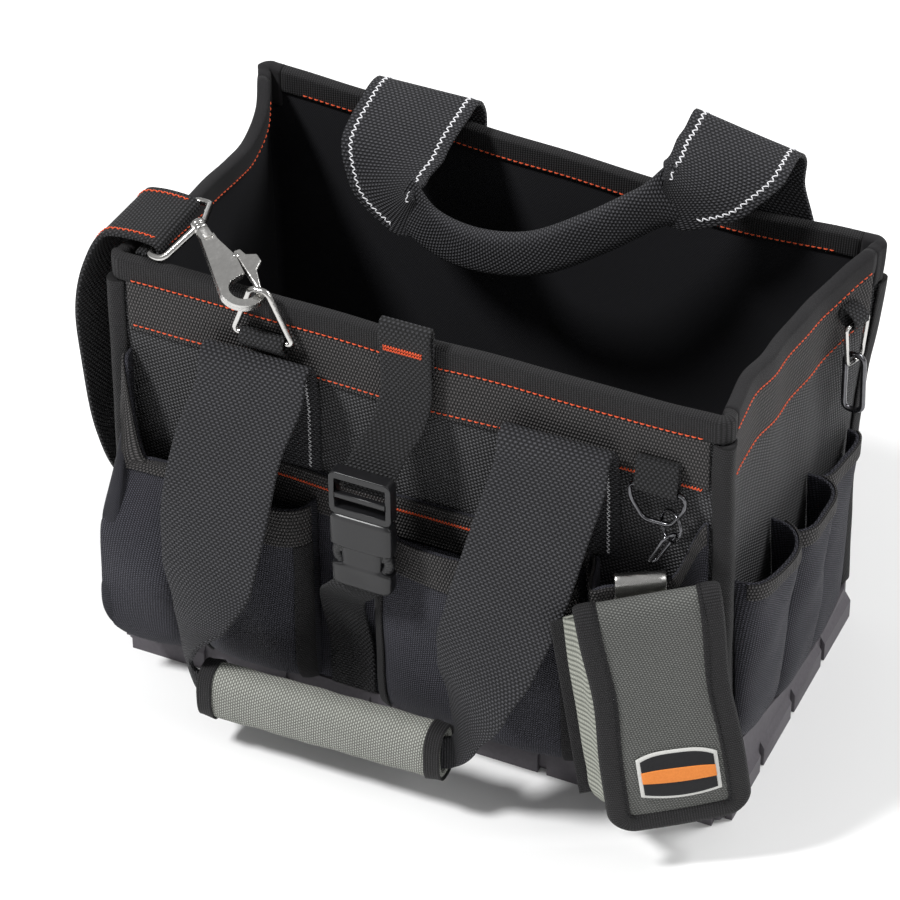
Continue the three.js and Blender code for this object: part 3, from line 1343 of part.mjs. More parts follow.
// Left side: a folded tab, a small ring and the hanging tape strap
const TAPE_Y = -32;
const TAPE_BAR = 208;
const TAPE_OUT = 9.5;
const TAPE_WEB = 20;
add("tape_tab", ringTab(onLeft, TAPE_Y, {
  z: TAPE_BAR,
  out: TAPE_OUT,
  width: 14,
  wireSize: 2.4,
  drop: 14,
  seat: TAB_SEAT + 0.3,
  way: -1,
}), MATERIAL.webbing);
const tapePlumb = (y, z, out) => vec(onLeft(y, TAPE_BAR, out).x, y, z);
const TAPE_FOOT = TAPE_BAR - 18;
add("tape_ring", hangingLoop(tapePlumb, [
  [TAPE_Y - 13, TAPE_BAR, TAPE_OUT],
  [TAPE_Y + 13, TAPE_BAR, TAPE_OUT],
  [TAPE_Y + 13, TAPE_FOOT, TAPE_OUT],
  [TAPE_Y - 13, TAPE_FOOT, TAPE_OUT],
], 3, 2.4, 20), MATERIAL.steel);
const hangTape = (z, out) => row(tapePlumb(TAPE_Y, z, out), Y, TAPE_WEB);
add("tape_strap", strap([
  hangTape(TAPE_FOOT - 18, TAPE_OUT - 2.4),
  hangTape(TAPE_FOOT - 6, TAPE_OUT - 2.6),
  hangTape(TAPE_FOOT, TAPE_OUT - 3),
  hangTape(TAPE_FOOT + 3, TAPE_OUT),
  hangTape(TAPE_FOOT, TAPE_OUT + 3),
  hangTape(TAPE_FOOT - 30, TAPE_OUT + 4.5),
  hangTape(TAPE_FOOT - 62, TAPE_OUT + 4),
  hangTape(TAPE_FOOT - 70, TAPE_OUT + 1),
  hangTape(TAPE_FOOT - 62, TAPE_OUT - 2.2),
  hangTape(TAPE_FOOT - 24, TAPE_OUT - 2.4),
], TAPE, 2, 1), MATERIAL.webbing);

// Pouch hung by a steel belt clip on the ridge of the front right pocket.
// Its own axes: across W, out of its face N, and U up its back.
const POUCH_YAW = THREE.MathUtils.degToRad(30);
const POUCH_ROLL = THREE.MathUtils.degToRad(8);
const POUCH_LEAN = THREE.MathUtils.degToRad(-2);
const CLIP_AT = vec(126, -106.6, 160);
const W0 = vec(Math.cos(POUCH_YAW), Math.sin(POUCH_YAW), 0);
const N0 = vec(Math.sin(POUCH_YAW), -Math.cos(POUCH_YAW), 0);
const W = W0.clone().multiplyScalar(Math.cos(POUCH_ROLL)).addScaledVector(Z, Math.sin(POUCH_ROLL));
const N = N0.clone().applyAxisAngle(W, POUCH_LEAN);
const U = N.clone().cross(W);
const clipPoint = (n, z) => CLIP_AT.clone().addScaledVector(N0, n).addScaledVector(Z, z);
const CLIP_HALF = 3;
add("pouch_clip", strap([
  row(clipPoint(-CLIP_HALF, -14), W0, CLIP_WIDTH),
  row(clipPoint(-CLIP_HALF, 0), W0, CLIP_WIDTH),
  row(clipPoint(-CLIP_HALF * 0.7, CLIP_HALF * 0.7), W0, CLIP_WIDTH),
  row(clipPoint(0, CLIP_HALF), W0, CLIP_WIDTH),
  row(clipPoint(CLIP_HALF * 0.7, CLIP_HALF * 0.7), W0, CLIP_WIDTH),
  row(clipPoint(CLIP_HALF, 0), W0, CLIP_WIDTH),
  row(clipPoint(CLIP_HALF + 0.6, -6), W0, CLIP_WIDTH),
  row(clipPoint(CLIP_HALF + 3.6, -24), W0, CLIP_WIDTH),
], CLIP_STEEL, 2, 1), MATERIAL.steel);

const POUCH_BACK = CLIP_HALF + 4;
const pouchTop = CLIP_AT.clone().addScaledVector(W0, 1.5).addScaledVector(Z, -2);
const pouchPoint = (w, n, down) => pouchTop.clone()
  .addScaledVector(W, w)
  .addScaledVector(N, n)
  .addScaledVector(U, -down);

// Levels down the pouch: share of the height, thickness and share of the width
const POUCH_LEVELS = [
  { down: 0.05, thick: 9, wide: 0.97 },
  { down: 0.25, thick: 14, wide: 1 },
  { down: 0.5, thick: 18, wide: 1 },
  { down: 0.8, thick: 21, wide: 1 },
  { down: 0.96, thick: 20, wide: 0.96 },
  { down: 1, thick: 16, wide: 0.88 },
];
function pouchRing(level, inset) {
  const back = (POUCH_BACK_WIDTH / 2) * level.wide - inset * 1.6;
  const front = (POUCH_WIDTH / 2) * level.wide - inset;
  const n0 = POUCH_BACK + inset;
  const n1 = POUCH_BACK + level.thick - inset;
  const down = level.down * POUCH_HEIGHT - (level.down > 0.95 ? inset : 0);
  const round = inset > 0 ? 2 : 4;
  const outline = [
    flat(-back, n0), flat(back, n0), flat(front + 1, n0 + 3), flat(front, n1 - round),
    flat(front - round, n1), flat(-front + round, n1), flat(-front, n1 - round),
    flat(-front - 1, n0 + 3),
  ];
  return outline.map((p) => pouchPoint(p.x, p.y, down));
}

function pouchBody() {
  const outline = pouchRing(POUCH_LEVELS[2], 0).map((p) => {
    const local = p.clone().sub(pouchTop);
    return flat(local.dot(W), local.dot(N));
  });
  const outer = [...POUCH_LEVELS].reverse().map((level) => pouchRing(level, 0));
  const inner = POUCH_LEVELS.map((level) => pouchRing(level, POUCH_WALL));
  return skin([...outer, ...inner], outline);
}
add("pouch_body", pouchBody(), MATERIAL.grey);

// Its flap folds over the top and covers the whole front
const flapGap = GAP + FLAP_THICK / 2;
const flapRow = (down, n, share = 1) => row(pouchPoint(0, n, down), W, FLAP_WIDTH * share);
const flapRows = [
  flapRow(0.05 * POUCH_HEIGHT - GAP - 1, POUCH_BACK + FLAP_THICK / 2, 1),
  flapRow(1, POUCH_BACK + FLAP_THICK / 2 + 1),
  flapRow(0, POUCH_BACK + 7),
  flapRow(3.5, POUCH_BACK + 10.5),
  ...POUCH_LEVELS.slice(1, 5).map((level, i) => flapRow(
    level.down * POUCH_HEIGHT,
    POUCH_BACK + level.thick + flapGap,
    i === 3 ? 0.96 : 1,
  )),
  flapRow(POUCH_HEIGHT + 5, POUCH_BACK + 20 + flapGap, 0.82),
];
add("pouch_flap", strap(flapRows, FLAP_THICK, 2), MATERIAL.grey);

export default tote;
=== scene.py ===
"""Open top tool tote: soft goods, hardware and finishes over its frame.

Lengths are millimetres until a mesh is made. The front faces -Y and +Z is up.
"""
import math

import bmesh
import bpy
import numpy as np
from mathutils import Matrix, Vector


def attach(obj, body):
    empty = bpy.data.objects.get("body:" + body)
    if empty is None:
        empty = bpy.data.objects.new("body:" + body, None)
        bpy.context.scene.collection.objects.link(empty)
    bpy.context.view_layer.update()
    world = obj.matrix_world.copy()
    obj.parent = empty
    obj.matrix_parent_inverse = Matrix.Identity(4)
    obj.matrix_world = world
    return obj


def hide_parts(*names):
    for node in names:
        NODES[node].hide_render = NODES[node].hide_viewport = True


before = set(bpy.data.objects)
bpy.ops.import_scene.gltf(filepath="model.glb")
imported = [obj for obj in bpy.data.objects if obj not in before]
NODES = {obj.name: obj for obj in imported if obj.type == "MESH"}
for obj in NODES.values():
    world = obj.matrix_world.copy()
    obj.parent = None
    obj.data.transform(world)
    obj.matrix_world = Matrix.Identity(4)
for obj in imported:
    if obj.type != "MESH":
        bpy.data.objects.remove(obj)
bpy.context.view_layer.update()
MM = 0.001
BODY = "tote"

# Camera: the photograph's viewing angle through a long lens
CAMERA_AZIMUTH = math.radians(24.2)
CAMERA_ELEVATION = math.radians(38.6)
CAMERA_DISTANCE = 2.023
CAMERA_TARGET = Vector((0, 0, 0.130))
FRAME_PIXELS = 900
AXIS_PIXEL = (489, 432)


def place_camera():
    """The camera looks at the target from an azimuth and an elevation, with a small shift."""
    level = math.cos(CAMERA_ELEVATION)
    back = Vector((
        math.sin(CAMERA_AZIMUTH) * level,
        -math.cos(CAMERA_AZIMUTH) * level,
        math.sin(CAMERA_ELEVATION),
    ))
    data = bpy.data.cameras.new("camera")
    data.lens = 160
    data.sensor_width = 36
    data.shift_x = (FRAME_PIXELS / 2 - AXIS_PIXEL[0]) / FRAME_PIXELS
    data.shift_y = (AXIS_PIXEL[1] - FRAME_PIXELS / 2) / FRAME_PIXELS
    data.clip_end = 60
    camera = bpy.data.objects.new("camera", data)
    camera.location = CAMERA_TARGET + back * CAMERA_DISTANCE
    camera.rotation_euler = back.to_track_quat("Z", "Y").to_euler()
    bpy.context.scene.collection.objects.link(camera)
    bpy.context.scene.camera = camera


place_camera()


# Numbers and curves

def soft(t):
    """3t^2 - 2t^3 of t held between 0 and 1."""
    t = np.clip(t, 0, 1)
    return t * t * (3 - 2 * t)


def lerp(a, b, t):
    return a + (b - a) * t


def span_of(keys, at):
    """Index of the interval of keys that holds each value, and the share within it."""
    i = np.clip(np.searchsorted(keys, at, side="left") - 1, 0, len(keys) - 2)
    return i, (at - keys[i]) / (keys[i + 1] - keys[i])


def eased_table(keys, values, at):
    """Values between the rows of a table, eased from one row to the next."""
    keys = np.asarray(keys, float)
    values = np.asarray(values, float)
    i, t = span_of(keys, at)
    return lerp(values[i], values[i + 1], soft(t))


def smooth_table(keys, values, at):
    """Cubic through the rows of a table, with slopes from the neighbouring rows."""
    keys = np.asarray(keys, float)
    values = np.asarray(values, float)
    slopes = np.gradient(values, keys, axis=0)
    i, t = span_of(keys, at)
    step = keys[i + 1] - keys[i]
    shape = (len(t),) + (1,) * (values.ndim - 1)
    t = t.reshape(shape)
    step = step.reshape(shape)
    p, q = values[i], values[i + 1]
    m, n = slopes[i] * step, slopes[i + 1] * step
    return p + m * t + (3 * (q - p) - 2 * m - n) * t**2 + (2 * (p - q) + m + n) * t**3


def catmull(points, t):
    """Centripetal Catmull-Rom curve through points: each gap counts as the root of its length."""
    points = np.asarray(points, float)
    last = len(points) - 1
    first = 2 * points[0] - points[1]
    final = 2 * points[-1] - points[-2]
    p = np.vstack([first, points, final])
    place = np.clip(t, 0, 1) * last
    i = np.minimum(place.astype(int), last - 1)
    w = (place - i)[:, None]
    a, b, c, d = p[i], p[i + 1], p[i + 2], p[i + 3]

    def gap(m, n):
        return np.sqrt(np.linalg.norm(n - m, axis=1, keepdims=True))

    mid = gap(b, c)
    mid = np.where(mid < 1e-4, 1, mid)
    low = gap(a, b)
    low = np.where(low < 1e-4, mid, low)
    high = gap(c, d)
    high = np.where(high < 1e-4, mid, high)
    m = ((b - a) / low - (c - a) / (low + mid) + (c - b) / mid) * mid
    n = ((c - b) / mid - (d - b) / (mid + high) + (d - c) / high) * mid
    return b + m * w + (3 * (c - b) - 2 * m - n) * w**2 + (2 * (b - c) + m + n) * w**3


def unit(v):
    return v / np.maximum(np.linalg.norm(v, axis=-1, keepdims=True), 1e-9)


def vec(*v):
    return np.array(v, float)


# Meshes

def cumulative(p, axis):
    """Length run along one direction of a grid of points, averaged over the other."""
    step = np.linalg.norm(np.diff(p, axis=axis), axis=-1)
    run = np.cumsum(step.mean(axis=1 - axis))
    return np.concatenate([[0], run])


def dress(obj, material, smooth=True):
    for one in material if isinstance(material, list) else [material]:
        obj.data.materials.append(one)
    if smooth:
        obj.data.shade_smooth()
    return obj


def put(name, mesh, material, body=BODY, smooth=True):
    obj = bpy.data.objects.new(name, mesh)
    bpy.context.scene.collection.objects.link(obj)
    dress(obj, material, smooth)
    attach(obj, body)
    return obj


def skin(name, rings, material, loop=False, around=None, rows=None, body=BODY):
    """Closed skin over rings of points: neighbouring rings are joined by quads, and each end is
    closed by quads between a ring's first half and its mirrored second half. The UV map holds
    metres round the ring and along the rings. around gives each ring point its own U."""
    n, m = rings.shape[:2]
    row = np.arange(n if loop else n - 1)[:, None]
    col = np.arange(m)[None, :]
    here = row * m + col
    beside = row * m + (col + 1) % m
    above = ((row + 1) % n) * m + col
    across = ((row + 1) % n) * m + (col + 1) % m
    quads = np.stack([here, beside, across, above], -1).reshape(-1, 4)
    if around is None:
        closed = np.concatenate([rings, rings[:, :1]], axis=1)
        around = cumulative(closed, 1)
    else:
        around = np.append(around, around[0])
    along = cumulative(rings, 0)
    along_next = np.append(along[1:], along[-1] + 1) if loop else along[1:]
    u0 = np.broadcast_to(around[:-1][None, :], (len(row), m))
    u1 = np.broadcast_to(around[1:][None, :], (len(row), m))
    v0 = np.broadcast_to(along[: len(row), None], (len(row), m))
    v1 = np.broadcast_to(along_next[: len(row), None], (len(row), m))
    uv = np.stack([np.stack([u0, u1, u1, u0], -1), np.stack([v0, v0, v1, v1], -1)], -1)
    uv = uv.reshape(-1, 4, 2)
    index = np.zeros(len(quads), int)
    if rows is not None:
        index = np.repeat(np.asarray(rows)[: len(row)], m)
    if not loop:
        half = m // 2
        k = np.arange(half - 1)
        low = np.stack([k, m - 1 - k, m - 2 - k, k + 1], -1)
        high = np.stack([k, k + 1, m - 2 - k, m - 1 - k], -1) + (n - 1) * m
        ends = np.concatenate([low, high])
        flat = rings.reshape(-1, 3)[ends]
        width = np.linalg.norm(flat[:, 0] - flat[:, 1], axis=-1)
        side = around[:-1][ends % m]
        cap = np.stack([side, np.zeros_like(side)], -1)
        cap[: half - 1, 1:3, 1] = width[: half - 1, None]
        cap[half - 1:, 2:4, 1] = width[half - 1:, None]
        quads = np.concatenate([quads, ends])
        uv = np.concatenate([uv, cap])
        index = np.concatenate([index, np.zeros(len(ends), int)])
        if rows is not None:
            index[-(half - 1):] = rows[-1]
    points = rings.reshape(-1, 3)
    a, b, c, d = (points[quads[:, k]] for k in range(4))
    volume = np.einsum("ij,ij->", a, np.cross(b, c) + np.cross(c, d))
    if volume < 0:
        quads = quads[:, ::-1]
        uv = uv[:, ::-1]
    mesh = bpy.data.meshes.new(name)
    mesh.vertices.add(len(points))
    mesh.vertices.foreach_set("co", (points * MM).ravel())
    mesh.loops.add(quads.size)
    mesh.loops.foreach_set("vertex_index", quads.ravel().astype(np.int32))
    mesh.polygons.add(len(quads))
    mesh.polygons.foreach_set("loop_start", np.arange(0, quads.size, 4, dtype=np.int32))
    mesh.polygons.foreach_set("material_index", index.astype(np.int32))
    layer = mesh.uv_layers.new(name="UVMap")
    layer.data.foreach_set("uv", (uv * MM).ravel().astype(np.float32))
    mesh.update(calc_edges=True)
    mesh.validate()
    return put(name, mesh, material, body)


def grid_normals(p):
    """Unit cross product of the differences along both directions of a grid of points."""
    along_u = np.gradient(p, axis=1)
    along_v = np.gradient(p, axis=0)
    return unit(np.cross(along_u, along_v))


def cloth(name, p, thick, material, lift=0.0):
    """Cloth of a thickness on a grid of middle points p[v, u]: two faces half a thickness from
    the middle along its normals, with rounded edges all round."""
    n = grid_normals(p)
    p = p + n * lift
    half = thick / 2
    front = p + n * half
    back = p - n * half
    left = p[:, :1] + unit(p[:, :1] - p[:, 1:2]) * half * 0.8
    right = p[:, -1:] + unit(p[:, -1:] - p[:, -2:-1]) * half * 0.8
    near = 0.7 * half
    left_front = left * 0.4 + p[:, :1] * 0.6 + n[:, :1] * near
    left_back = left * 0.4 + p[:, :1] * 0.6 - n[:, :1] * near
    right_front = right * 0.4 + p[:, -1:] * 0.6 + n[:, -1:] * near
    right_back = right * 0.4 + p[:, -1:] * 0.6 - n[:, -1:] * near
    top = np.concatenate([left_front * 0.5 + left * 0.5, left_front, front, right_front], axis=1)
    low = np.concatenate([right_back * 0.5 + right * 0.5, right_back, back[:, ::-1], left_back], axis=1)
    rings = np.concatenate([top, low], axis=1)
    first = rings[:1] + unit(p[:1, :1] - p[1:2, :1]) * half * 0.6
    final = rings[-1:] + unit(p[-1:, :1] - p[-2:-1, :1]) * half * 0.6
    middle_first = (first + first[:, ::-1]) / 2
    middle_final = (final + final[:, ::-1]) / 2
    first = lerp(first, middle_first, 0.4)
    final = lerp(final, middle_final, 0.4)
    rings = np.concatenate([first, rings, final])
    u = cumulative(p, 1)
    face = np.concatenate([[-half, -0.3], u, [u[-1] + 0.3]])
    around = np.concatenate([face, [u[-1] + half, u[-1] + 0.3], u[::-1], [-0.3]])
    return skin(name, rings, material, around=around)


def tube(name, path, diameter, material, closed=False, sides=14, up=(0, 0, 1), body=BODY):
    """Round rod on a path: rings across the path's direction, measured from a fixed direction."""
    path = np.asarray(path, float)
    if closed:
        ahead = np.roll(path, -1, axis=0) - np.roll(path, 1, axis=0)
    else:
        ahead = np.gradient(path, axis=0)
    ahead = unit(ahead)
    up = np.broadcast_to(np.asarray(up, float), path.shape)
    side = unit(np.cross(ahead, up))
    over = np.cross(side, ahead)
    angle = (np.arange(sides) + 0.5) / sides * 2 * math.pi
    radius = np.broadcast_to(np.asarray(diameter, float) / 2, (len(path),))[:, None, None]
    rings = path[:, None] + radius * (
        np.cos(angle)[None, :, None] * side[:, None] + np.sin(angle)[None, :, None] * over[:, None]
    )
    return skin(name, rings, material, loop=closed, body=body)


def rounded_loop(corners, radius, count):
    """Closed path through corners: each is cut by a quadratic arc that starts a radius before it,
    and the whole is spaced evenly by its length."""
    corners = np.asarray(corners, float)
    pieces = []
    t = np.linspace(0, 1, 14)[:, None]
    for before, here, after in zip(np.roll(corners, 1, 0), corners, np.roll(corners, -1, 0)):
        into = here + (before - here) * min(radius / np.linalg.norm(before - here), 0.45)
        away = here + (after - here) * min(radius / np.linalg.norm(after - here), 0.45)
        pieces.append((1 - t) ** 2 * into + 2 * t * (1 - t) * here + t**2 * away)
    path = np.concatenate(pieces + [pieces[0][:1]])
    run = np.concatenate([[0], np.cumsum(np.linalg.norm(np.diff(path, axis=0), axis=1))])
    at = np.linspace(0, run[-1], count, endpoint=False)
    return np.stack([np.interp(at, run, path[:, k]) for k in range(3)], -1)


def refined(name, node, bevel, material, body=BODY):
    """Copy of a hard node with its vertices merged, flat faces joined and its edges rounded."""
    mesh = NODES[node].data.copy()
    mesh.name = name
    mesh.materials.clear()
    work = bmesh.new()
    work.from_mesh(mesh)
    bmesh.ops.remove_doubles(work, verts=work.verts, dist=1e-5)
    flat = math.radians(1.0)
    bmesh.ops.dissolve_limit(work, angle_limit=flat, verts=work.verts, edges=work.edges)
    work.to_mesh(mesh)
    work.free()
    obj = put(name, mesh, material, body)
    mesh.set_sharp_from_angle(angle=math.radians(35))
    edge = obj.modifiers.new("rounded edges", "BEVEL")
    edge.width = bevel * MM
    edge.segments = 3
    edge.limit_method = "ANGLE"
    edge.angle_limit = math.radians(32)
    edge.use_clamp_overlap = True
    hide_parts(node)
    return obj


def threads(name, a, b, normal, thick, material, arch=0.35):
    """Stitches from points a to points b: short rods of six sides that arch up along a normal
    and dip into the cloth at both ends."""
    a, b = np.asarray(a, float), np.asarray(b, float)
    normal = unit(np.broadcast_to(np.asarray(normal, float), a.shape))
    t = np.array([0.0, 0.18, 0.5, 0.82, 1.0])
    full = np.array([0.45, 0.9, 1.0, 0.9, 0.45])
    rise = np.array([-0.5, 0.1, arch, 0.1, -0.5])
    centre = a[:, None] + (b - a)[:, None] * t[None, :, None]
    centre = centre + normal[:, None] * (rise * thick)[None, :, None]
    side = unit(np.cross(b - a, normal))
    angle = np.arange(6) / 6 * 2 * math.pi
    round_ = (
        np.cos(angle)[None, None, :, None] * side[:, None, None]
        + np.sin(angle)[None, None, :, None] * normal[:, None, None]
    )
    points = centre[:, :, None] + round_ * (full * thick / 2)[None, :, None, None]
    count, rows, cols = points.shape[:3]
    r = np.arange(rows - 1)[:, None]
    c = np.arange(cols)[None, :]
    quad = np.stack([
        r * cols + c, r * cols + (c + 1) % cols, (r + 1) * cols + (c + 1) % cols, (r + 1) * cols + c,
    ], -1).reshape(-1, 4)
    ends = np.array([[0, 3, 2, 1], [0, 5, 4, 3]])
    top = ends[:, ::-1] + (rows - 1) * cols
    quad = np.concatenate([quad, ends, top])
    faces = (quad[None] + (np.arange(count) * rows * cols)[:, None, None]).reshape(-1, 4)
    mesh = bpy.data.meshes.new(name)
    mesh.from_pydata((points.reshape(-1, 3) * MM), [], faces.tolist())
    work = bmesh.new()
    work.from_mesh(mesh)
    bmesh.ops.recalc_face_normals(work, faces=work.faces)
    work.to_mesh(mesh)
    work.free()
    return put(name, mesh, material)


def even_path(points, pitch):
    """Points at even lengths of a path, about a pitch apart, and the share of each."""
    run = np.concatenate([[0], np.cumsum(np.linalg.norm(np.diff(points, axis=0), axis=1))])
    count = max(int(run[-1] / pitch), 1)
    at = np.linspace(0, run[-1], count + 1)
    place = np.stack([np.interp(at, run, points[:, k]) for k in range(3)], -1)
    return place, at / run[-1]


def seam(name, points, normals, material, pitch=3.2, thick=0.75, fill=0.78):
    """Running stitch: a thread on the first part of each pitch of the path."""
    place, share = even_path(points, pitch)
    source = np.linspace(0, 1, len(normals))
    n = np.stack([np.interp(share, source, normals[:, k]) for k in range(3)], -1)
    return threads(name, place[:-1], lerp(place[:-1], place[1:], fill), n[:-1], thick, material)


def zigzag(name, points, normals, across, material, wide=2.4, pitch=1.7, thick=0.7):
    """Zigzag stitch: threads that go from one side of the path to the other and back."""
    place, share = even_path(points, pitch)
    source = np.linspace(0, 1, len(normals))
    n = np.stack([np.interp(share, source, normals[:, k]) for k in range(3)], -1)
    s = np.stack([np.interp(share, source, across[:, k]) for k in range(3)], -1)
    way = np.where(np.arange(len(place)) % 2 == 0, 0.5, -0.5)[:, None] * wide
    place = place + unit(s) * way
    return threads(name, place[:-1], place[1:], n[:-1], thick, material, arch=0.5)


# Materials

def node_math(tree, operation, a, b=None):
    node = tree.nodes.new("ShaderNodeMath")
    node.operation = operation
    for socket, value in zip(node.inputs, (a, b)):
        if value is None:
            continue
        if isinstance(value, (int, float)):
            socket.default_value = value
        else:
            tree.links.new(value, socket)
    return node.outputs[0]


def group_with(name, inputs, outputs):
    tree = bpy.data.node_groups.new(name, "ShaderNodeTree")
    for label, kind, value in inputs:
        socket = tree.interface.new_socket(label, in_out="INPUT", socket_type=kind)
        if value is not None:
            socket.default_value = value
    for label, kind in outputs:
        tree.interface.new_socket(label, in_out="OUTPUT", socket_type=kind)
    return tree, tree.nodes.new("NodeGroupInput"), tree.nodes.new("NodeGroupOutput")


def weave_group():
    """Woven threads: rows of rounded bumps, each row half a pitch on from the last, or plain
    ribs where Rib is 1. Pitches are threads in a metre."""
    number = "NodeSocketFloat"
    tree, given, out = group_with(
        "woven threads",
        [("Vector", "NodeSocketVector", None), ("Across", number, 500.0),
         ("Along", number, 700.0), ("Rib", number, 0.0)],
        [("Height", number), ("Wear", number)],
    )
    split = tree.nodes.new("ShaderNodeSeparateXYZ")
    tree.links.new(given.outputs["Vector"], split.inputs[0])
    x = node_math(tree, "MULTIPLY", split.outputs[0], given.outputs["Across"])
    y = node_math(tree, "MULTIPLY", split.outputs[1], given.outputs["Along"])
    row = node_math(tree, "FLOOR", y)
    odd = node_math(tree, "MULTIPLY", node_math(tree, "MODULO", row, 2.0), 0.5)
    x = node_math(tree, "ADD", x, odd)
    bump_x = node_math(tree, "ABSOLUTE", node_math(tree, "SINE", node_math(tree, "MULTIPLY", x, math.pi)))
    bump_y = node_math(tree, "ABSOLUTE", node_math(tree, "SINE", node_math(tree, "MULTIPLY", y, math.pi)))
    flatter = node_math(tree, "MAXIMUM", bump_x, given.outputs["Rib"])
    height = node_math(tree, "POWER", node_math(tree, "MULTIPLY", flatter, bump_y), 1.3)
    tree.links.new(height, out.inputs["Height"])
    noise = tree.nodes.new("ShaderNodeTexNoise")
    noise.inputs["Scale"].default_value = 38
    noise.inputs["Detail"].default_value = 3
    place = tree.nodes.new("ShaderNodeTexCoord")
    tree.links.new(place.outputs["Object"], noise.inputs["Vector"])
    tree.links.new(noise.outputs["Fac"], out.inputs["Wear"])
    return tree


def fuzz_group():
    """Short fibres: two sizes of noise on Object coordinates, the fine one for the height and the broad one
    for the wear.
    """
    number = "NodeSocketFloat"
    tree, given, out = group_with(
        "short fibres", [("Size", number, 900.0)], [("Height", number), ("Wear", number)]
    )
    place = tree.nodes.new("ShaderNodeTexCoord")
    fine = tree.nodes.new("ShaderNodeTexNoise")
    fine.inputs["Detail"].default_value = 4
    fine.inputs["Roughness"].default_value = 0.7
    tree.links.new(place.outputs["Object"], fine.inputs["Vector"])
    tree.links.new(given.outputs["Size"], fine.inputs["Scale"])
    broad = tree.nodes.new("ShaderNodeTexNoise")
    broad.inputs["Scale"].default_value = 60
    tree.links.new(place.outputs["Object"], broad.inputs["Vector"])
    tree.links.new(fine.outputs["Fac"], out.inputs["Height"])
    tree.links.new(broad.outputs["Fac"], out.inputs["Wear"])
    return tree


WEAVE = weave_group()
FUZZ = fuzz_group()


def base_material(name, rough, metallic=0.0, sheen=0.0, specular=0.5, coat=0.0):
    material = bpy.data.materials.new(name)
    material.use_nodes = True
    shader = material.node_tree.nodes["Principled BSDF"]
    shader.inputs["Roughness"].default_value = rough
    shader.inputs["Metallic"].default_value = metallic
    shader.inputs["Sheen Weight"].default_value = sheen
    shader.inputs["Specular IOR Level"].default_value = specular
    shader.inputs["Coat Weight"].default_value = coat
    return material, material.node_tree, shader


def tint(tree, shader, mask, wear, dark, light, wear_share=0.35):
    """Base colour from dark to light with the height, varied by wear: on woven cloth this is painted shade
    in the weave's hollows and a painted highlight on the high threads; on fibrous surfaces it is a mottle.
    """
    varied = node_math(tree, "MULTIPLY_ADD", wear, wear_share)
    varied.node.inputs[2].default_value = 1 - wear_share / 2
    # painted shade where the weave is low, painted highlight where it is high
    share = node_math(tree, "MULTIPLY", mask, varied)
    mix = tree.nodes.new("ShaderNodeMix")
    mix.data_type = "RGBA"
    tree.links.new(share, mix.inputs["Factor"])
    mix.inputs["A"].default_value = (*dark, 1)
    mix.inputs["B"].default_value = (*light, 1)
    tree.links.new(mix.outputs["Result"], shader.inputs["Base Color"])


def relief(tree, shader, height, depth, strength=1.0):
    bump = tree.nodes.new("ShaderNodeBump")
    bump.inputs["Strength"].default_value = strength
    bump.inputs["Distance"].default_value = depth * MM
    tree.links.new(height, bump.inputs["Height"])
    tree.links.new(bump.outputs["Normal"], shader.inputs["Normal"])


def woven(name, dark, light, across, along, rib=0.0, depth=0.5, rough=0.75, sheen=0.02, turn=0.0):
    """Woven cloth on the piece's UV map: a raised weave, its colour going from painted shade in the hollows
    to a painted highlight on the raised threads, over the cloth's own tone.
    """
    material, tree, shader = base_material(name, rough, sheen=sheen, specular=0.28)
    uv = tree.nodes.new("ShaderNodeUVMap")
    uv.uv_map = "UVMap"
    mapping = tree.nodes.new("ShaderNodeMapping")
    mapping.inputs["Rotation"].default_value = (0, 0, math.radians(turn))
    tree.links.new(uv.outputs[0], mapping.inputs["Vector"])
    group = tree.nodes.new("ShaderNodeGroup")
    group.node_tree = WEAVE
    group.inputs["Across"].default_value = across
    group.inputs["Along"].default_value = along
    group.inputs["Rib"].default_value = rib
    tree.links.new(mapping.outputs[0], group.inputs["Vector"])
    # dark is the cloth's tone with painted shade in the hollows, light is a painted highlight on the raised
    # threads
    tint(tree, shader, group.outputs["Height"], group.outputs["Wear"], dark, light)
    relief(tree, shader, group.outputs["Height"], depth)
    return material


def fibrous(name, dark, light, size, depth, rough=0.9, sheen=0.04, specular=0.25, metallic=0.0):
    """Fuzzy or moulded surface on Object coordinates, mottled between two colours."""
    material, tree, shader = base_material(name, rough, metallic, sheen, specular)
    group = tree.nodes.new("ShaderNodeGroup")
    group.node_tree = FUZZ
    group.inputs["Size"].default_value = size
    tint(tree, shader, group.outputs["Height"], group.outputs["Wear"], dark, light)
    relief(tree, shader, group.outputs["Height"], depth)
    return material


def grey(value, warm=0.0):
    return (value * (1 + warm), value, value * (1 - warm))


# Woven cloths below: each dark colour is the cloth's own tone deepened by painted shade in the weave's
# hollows, and each light colour is a painted highlight on the raised threads
BALLISTIC = woven("ballistic nylon", grey(0.003), (0.13, 0.13, 0.137), 460, 620, depth=0.9, turn=24)
LINING = woven("lining cloth", (0.002, 0.002, 0.003), (0.011, 0.011, 0.014), 1100, 1100, depth=0.15)
POCKET_NYLON = woven(
    "pocket nylon", (0.004, 0.004, 0.007), (0.075, 0.075, 0.095),
    700, 900, depth=0.6, turn=38,
)
WEBBING = woven("webbing", (0.001, 0.001, 0.001), (0.045, 0.045, 0.049), 430, 600, depth=1.1)
HANDLE_WEBBING = woven("handle webbing", (0.001, 0.001, 0.002), (0.078, 0.078, 0.086), 430, 640, depth=1.2)
RIBBED_TAPE = woven(
    "ribbed tape", (0.001, 0.001, 0.001), (0.024, 0.023, 0.025),
    900, 760, rib=0.5, depth=0.45,
)
BAND_RIB = woven("band webbing", (0.002, 0.002, 0.002), (0.115, 0.108, 0.108), 620, 480, rib=0.1, depth=1.2)
FELT = fibrous("felt tape", grey(0.003), (0.018, 0.017, 0.019), 1300, 0.35)
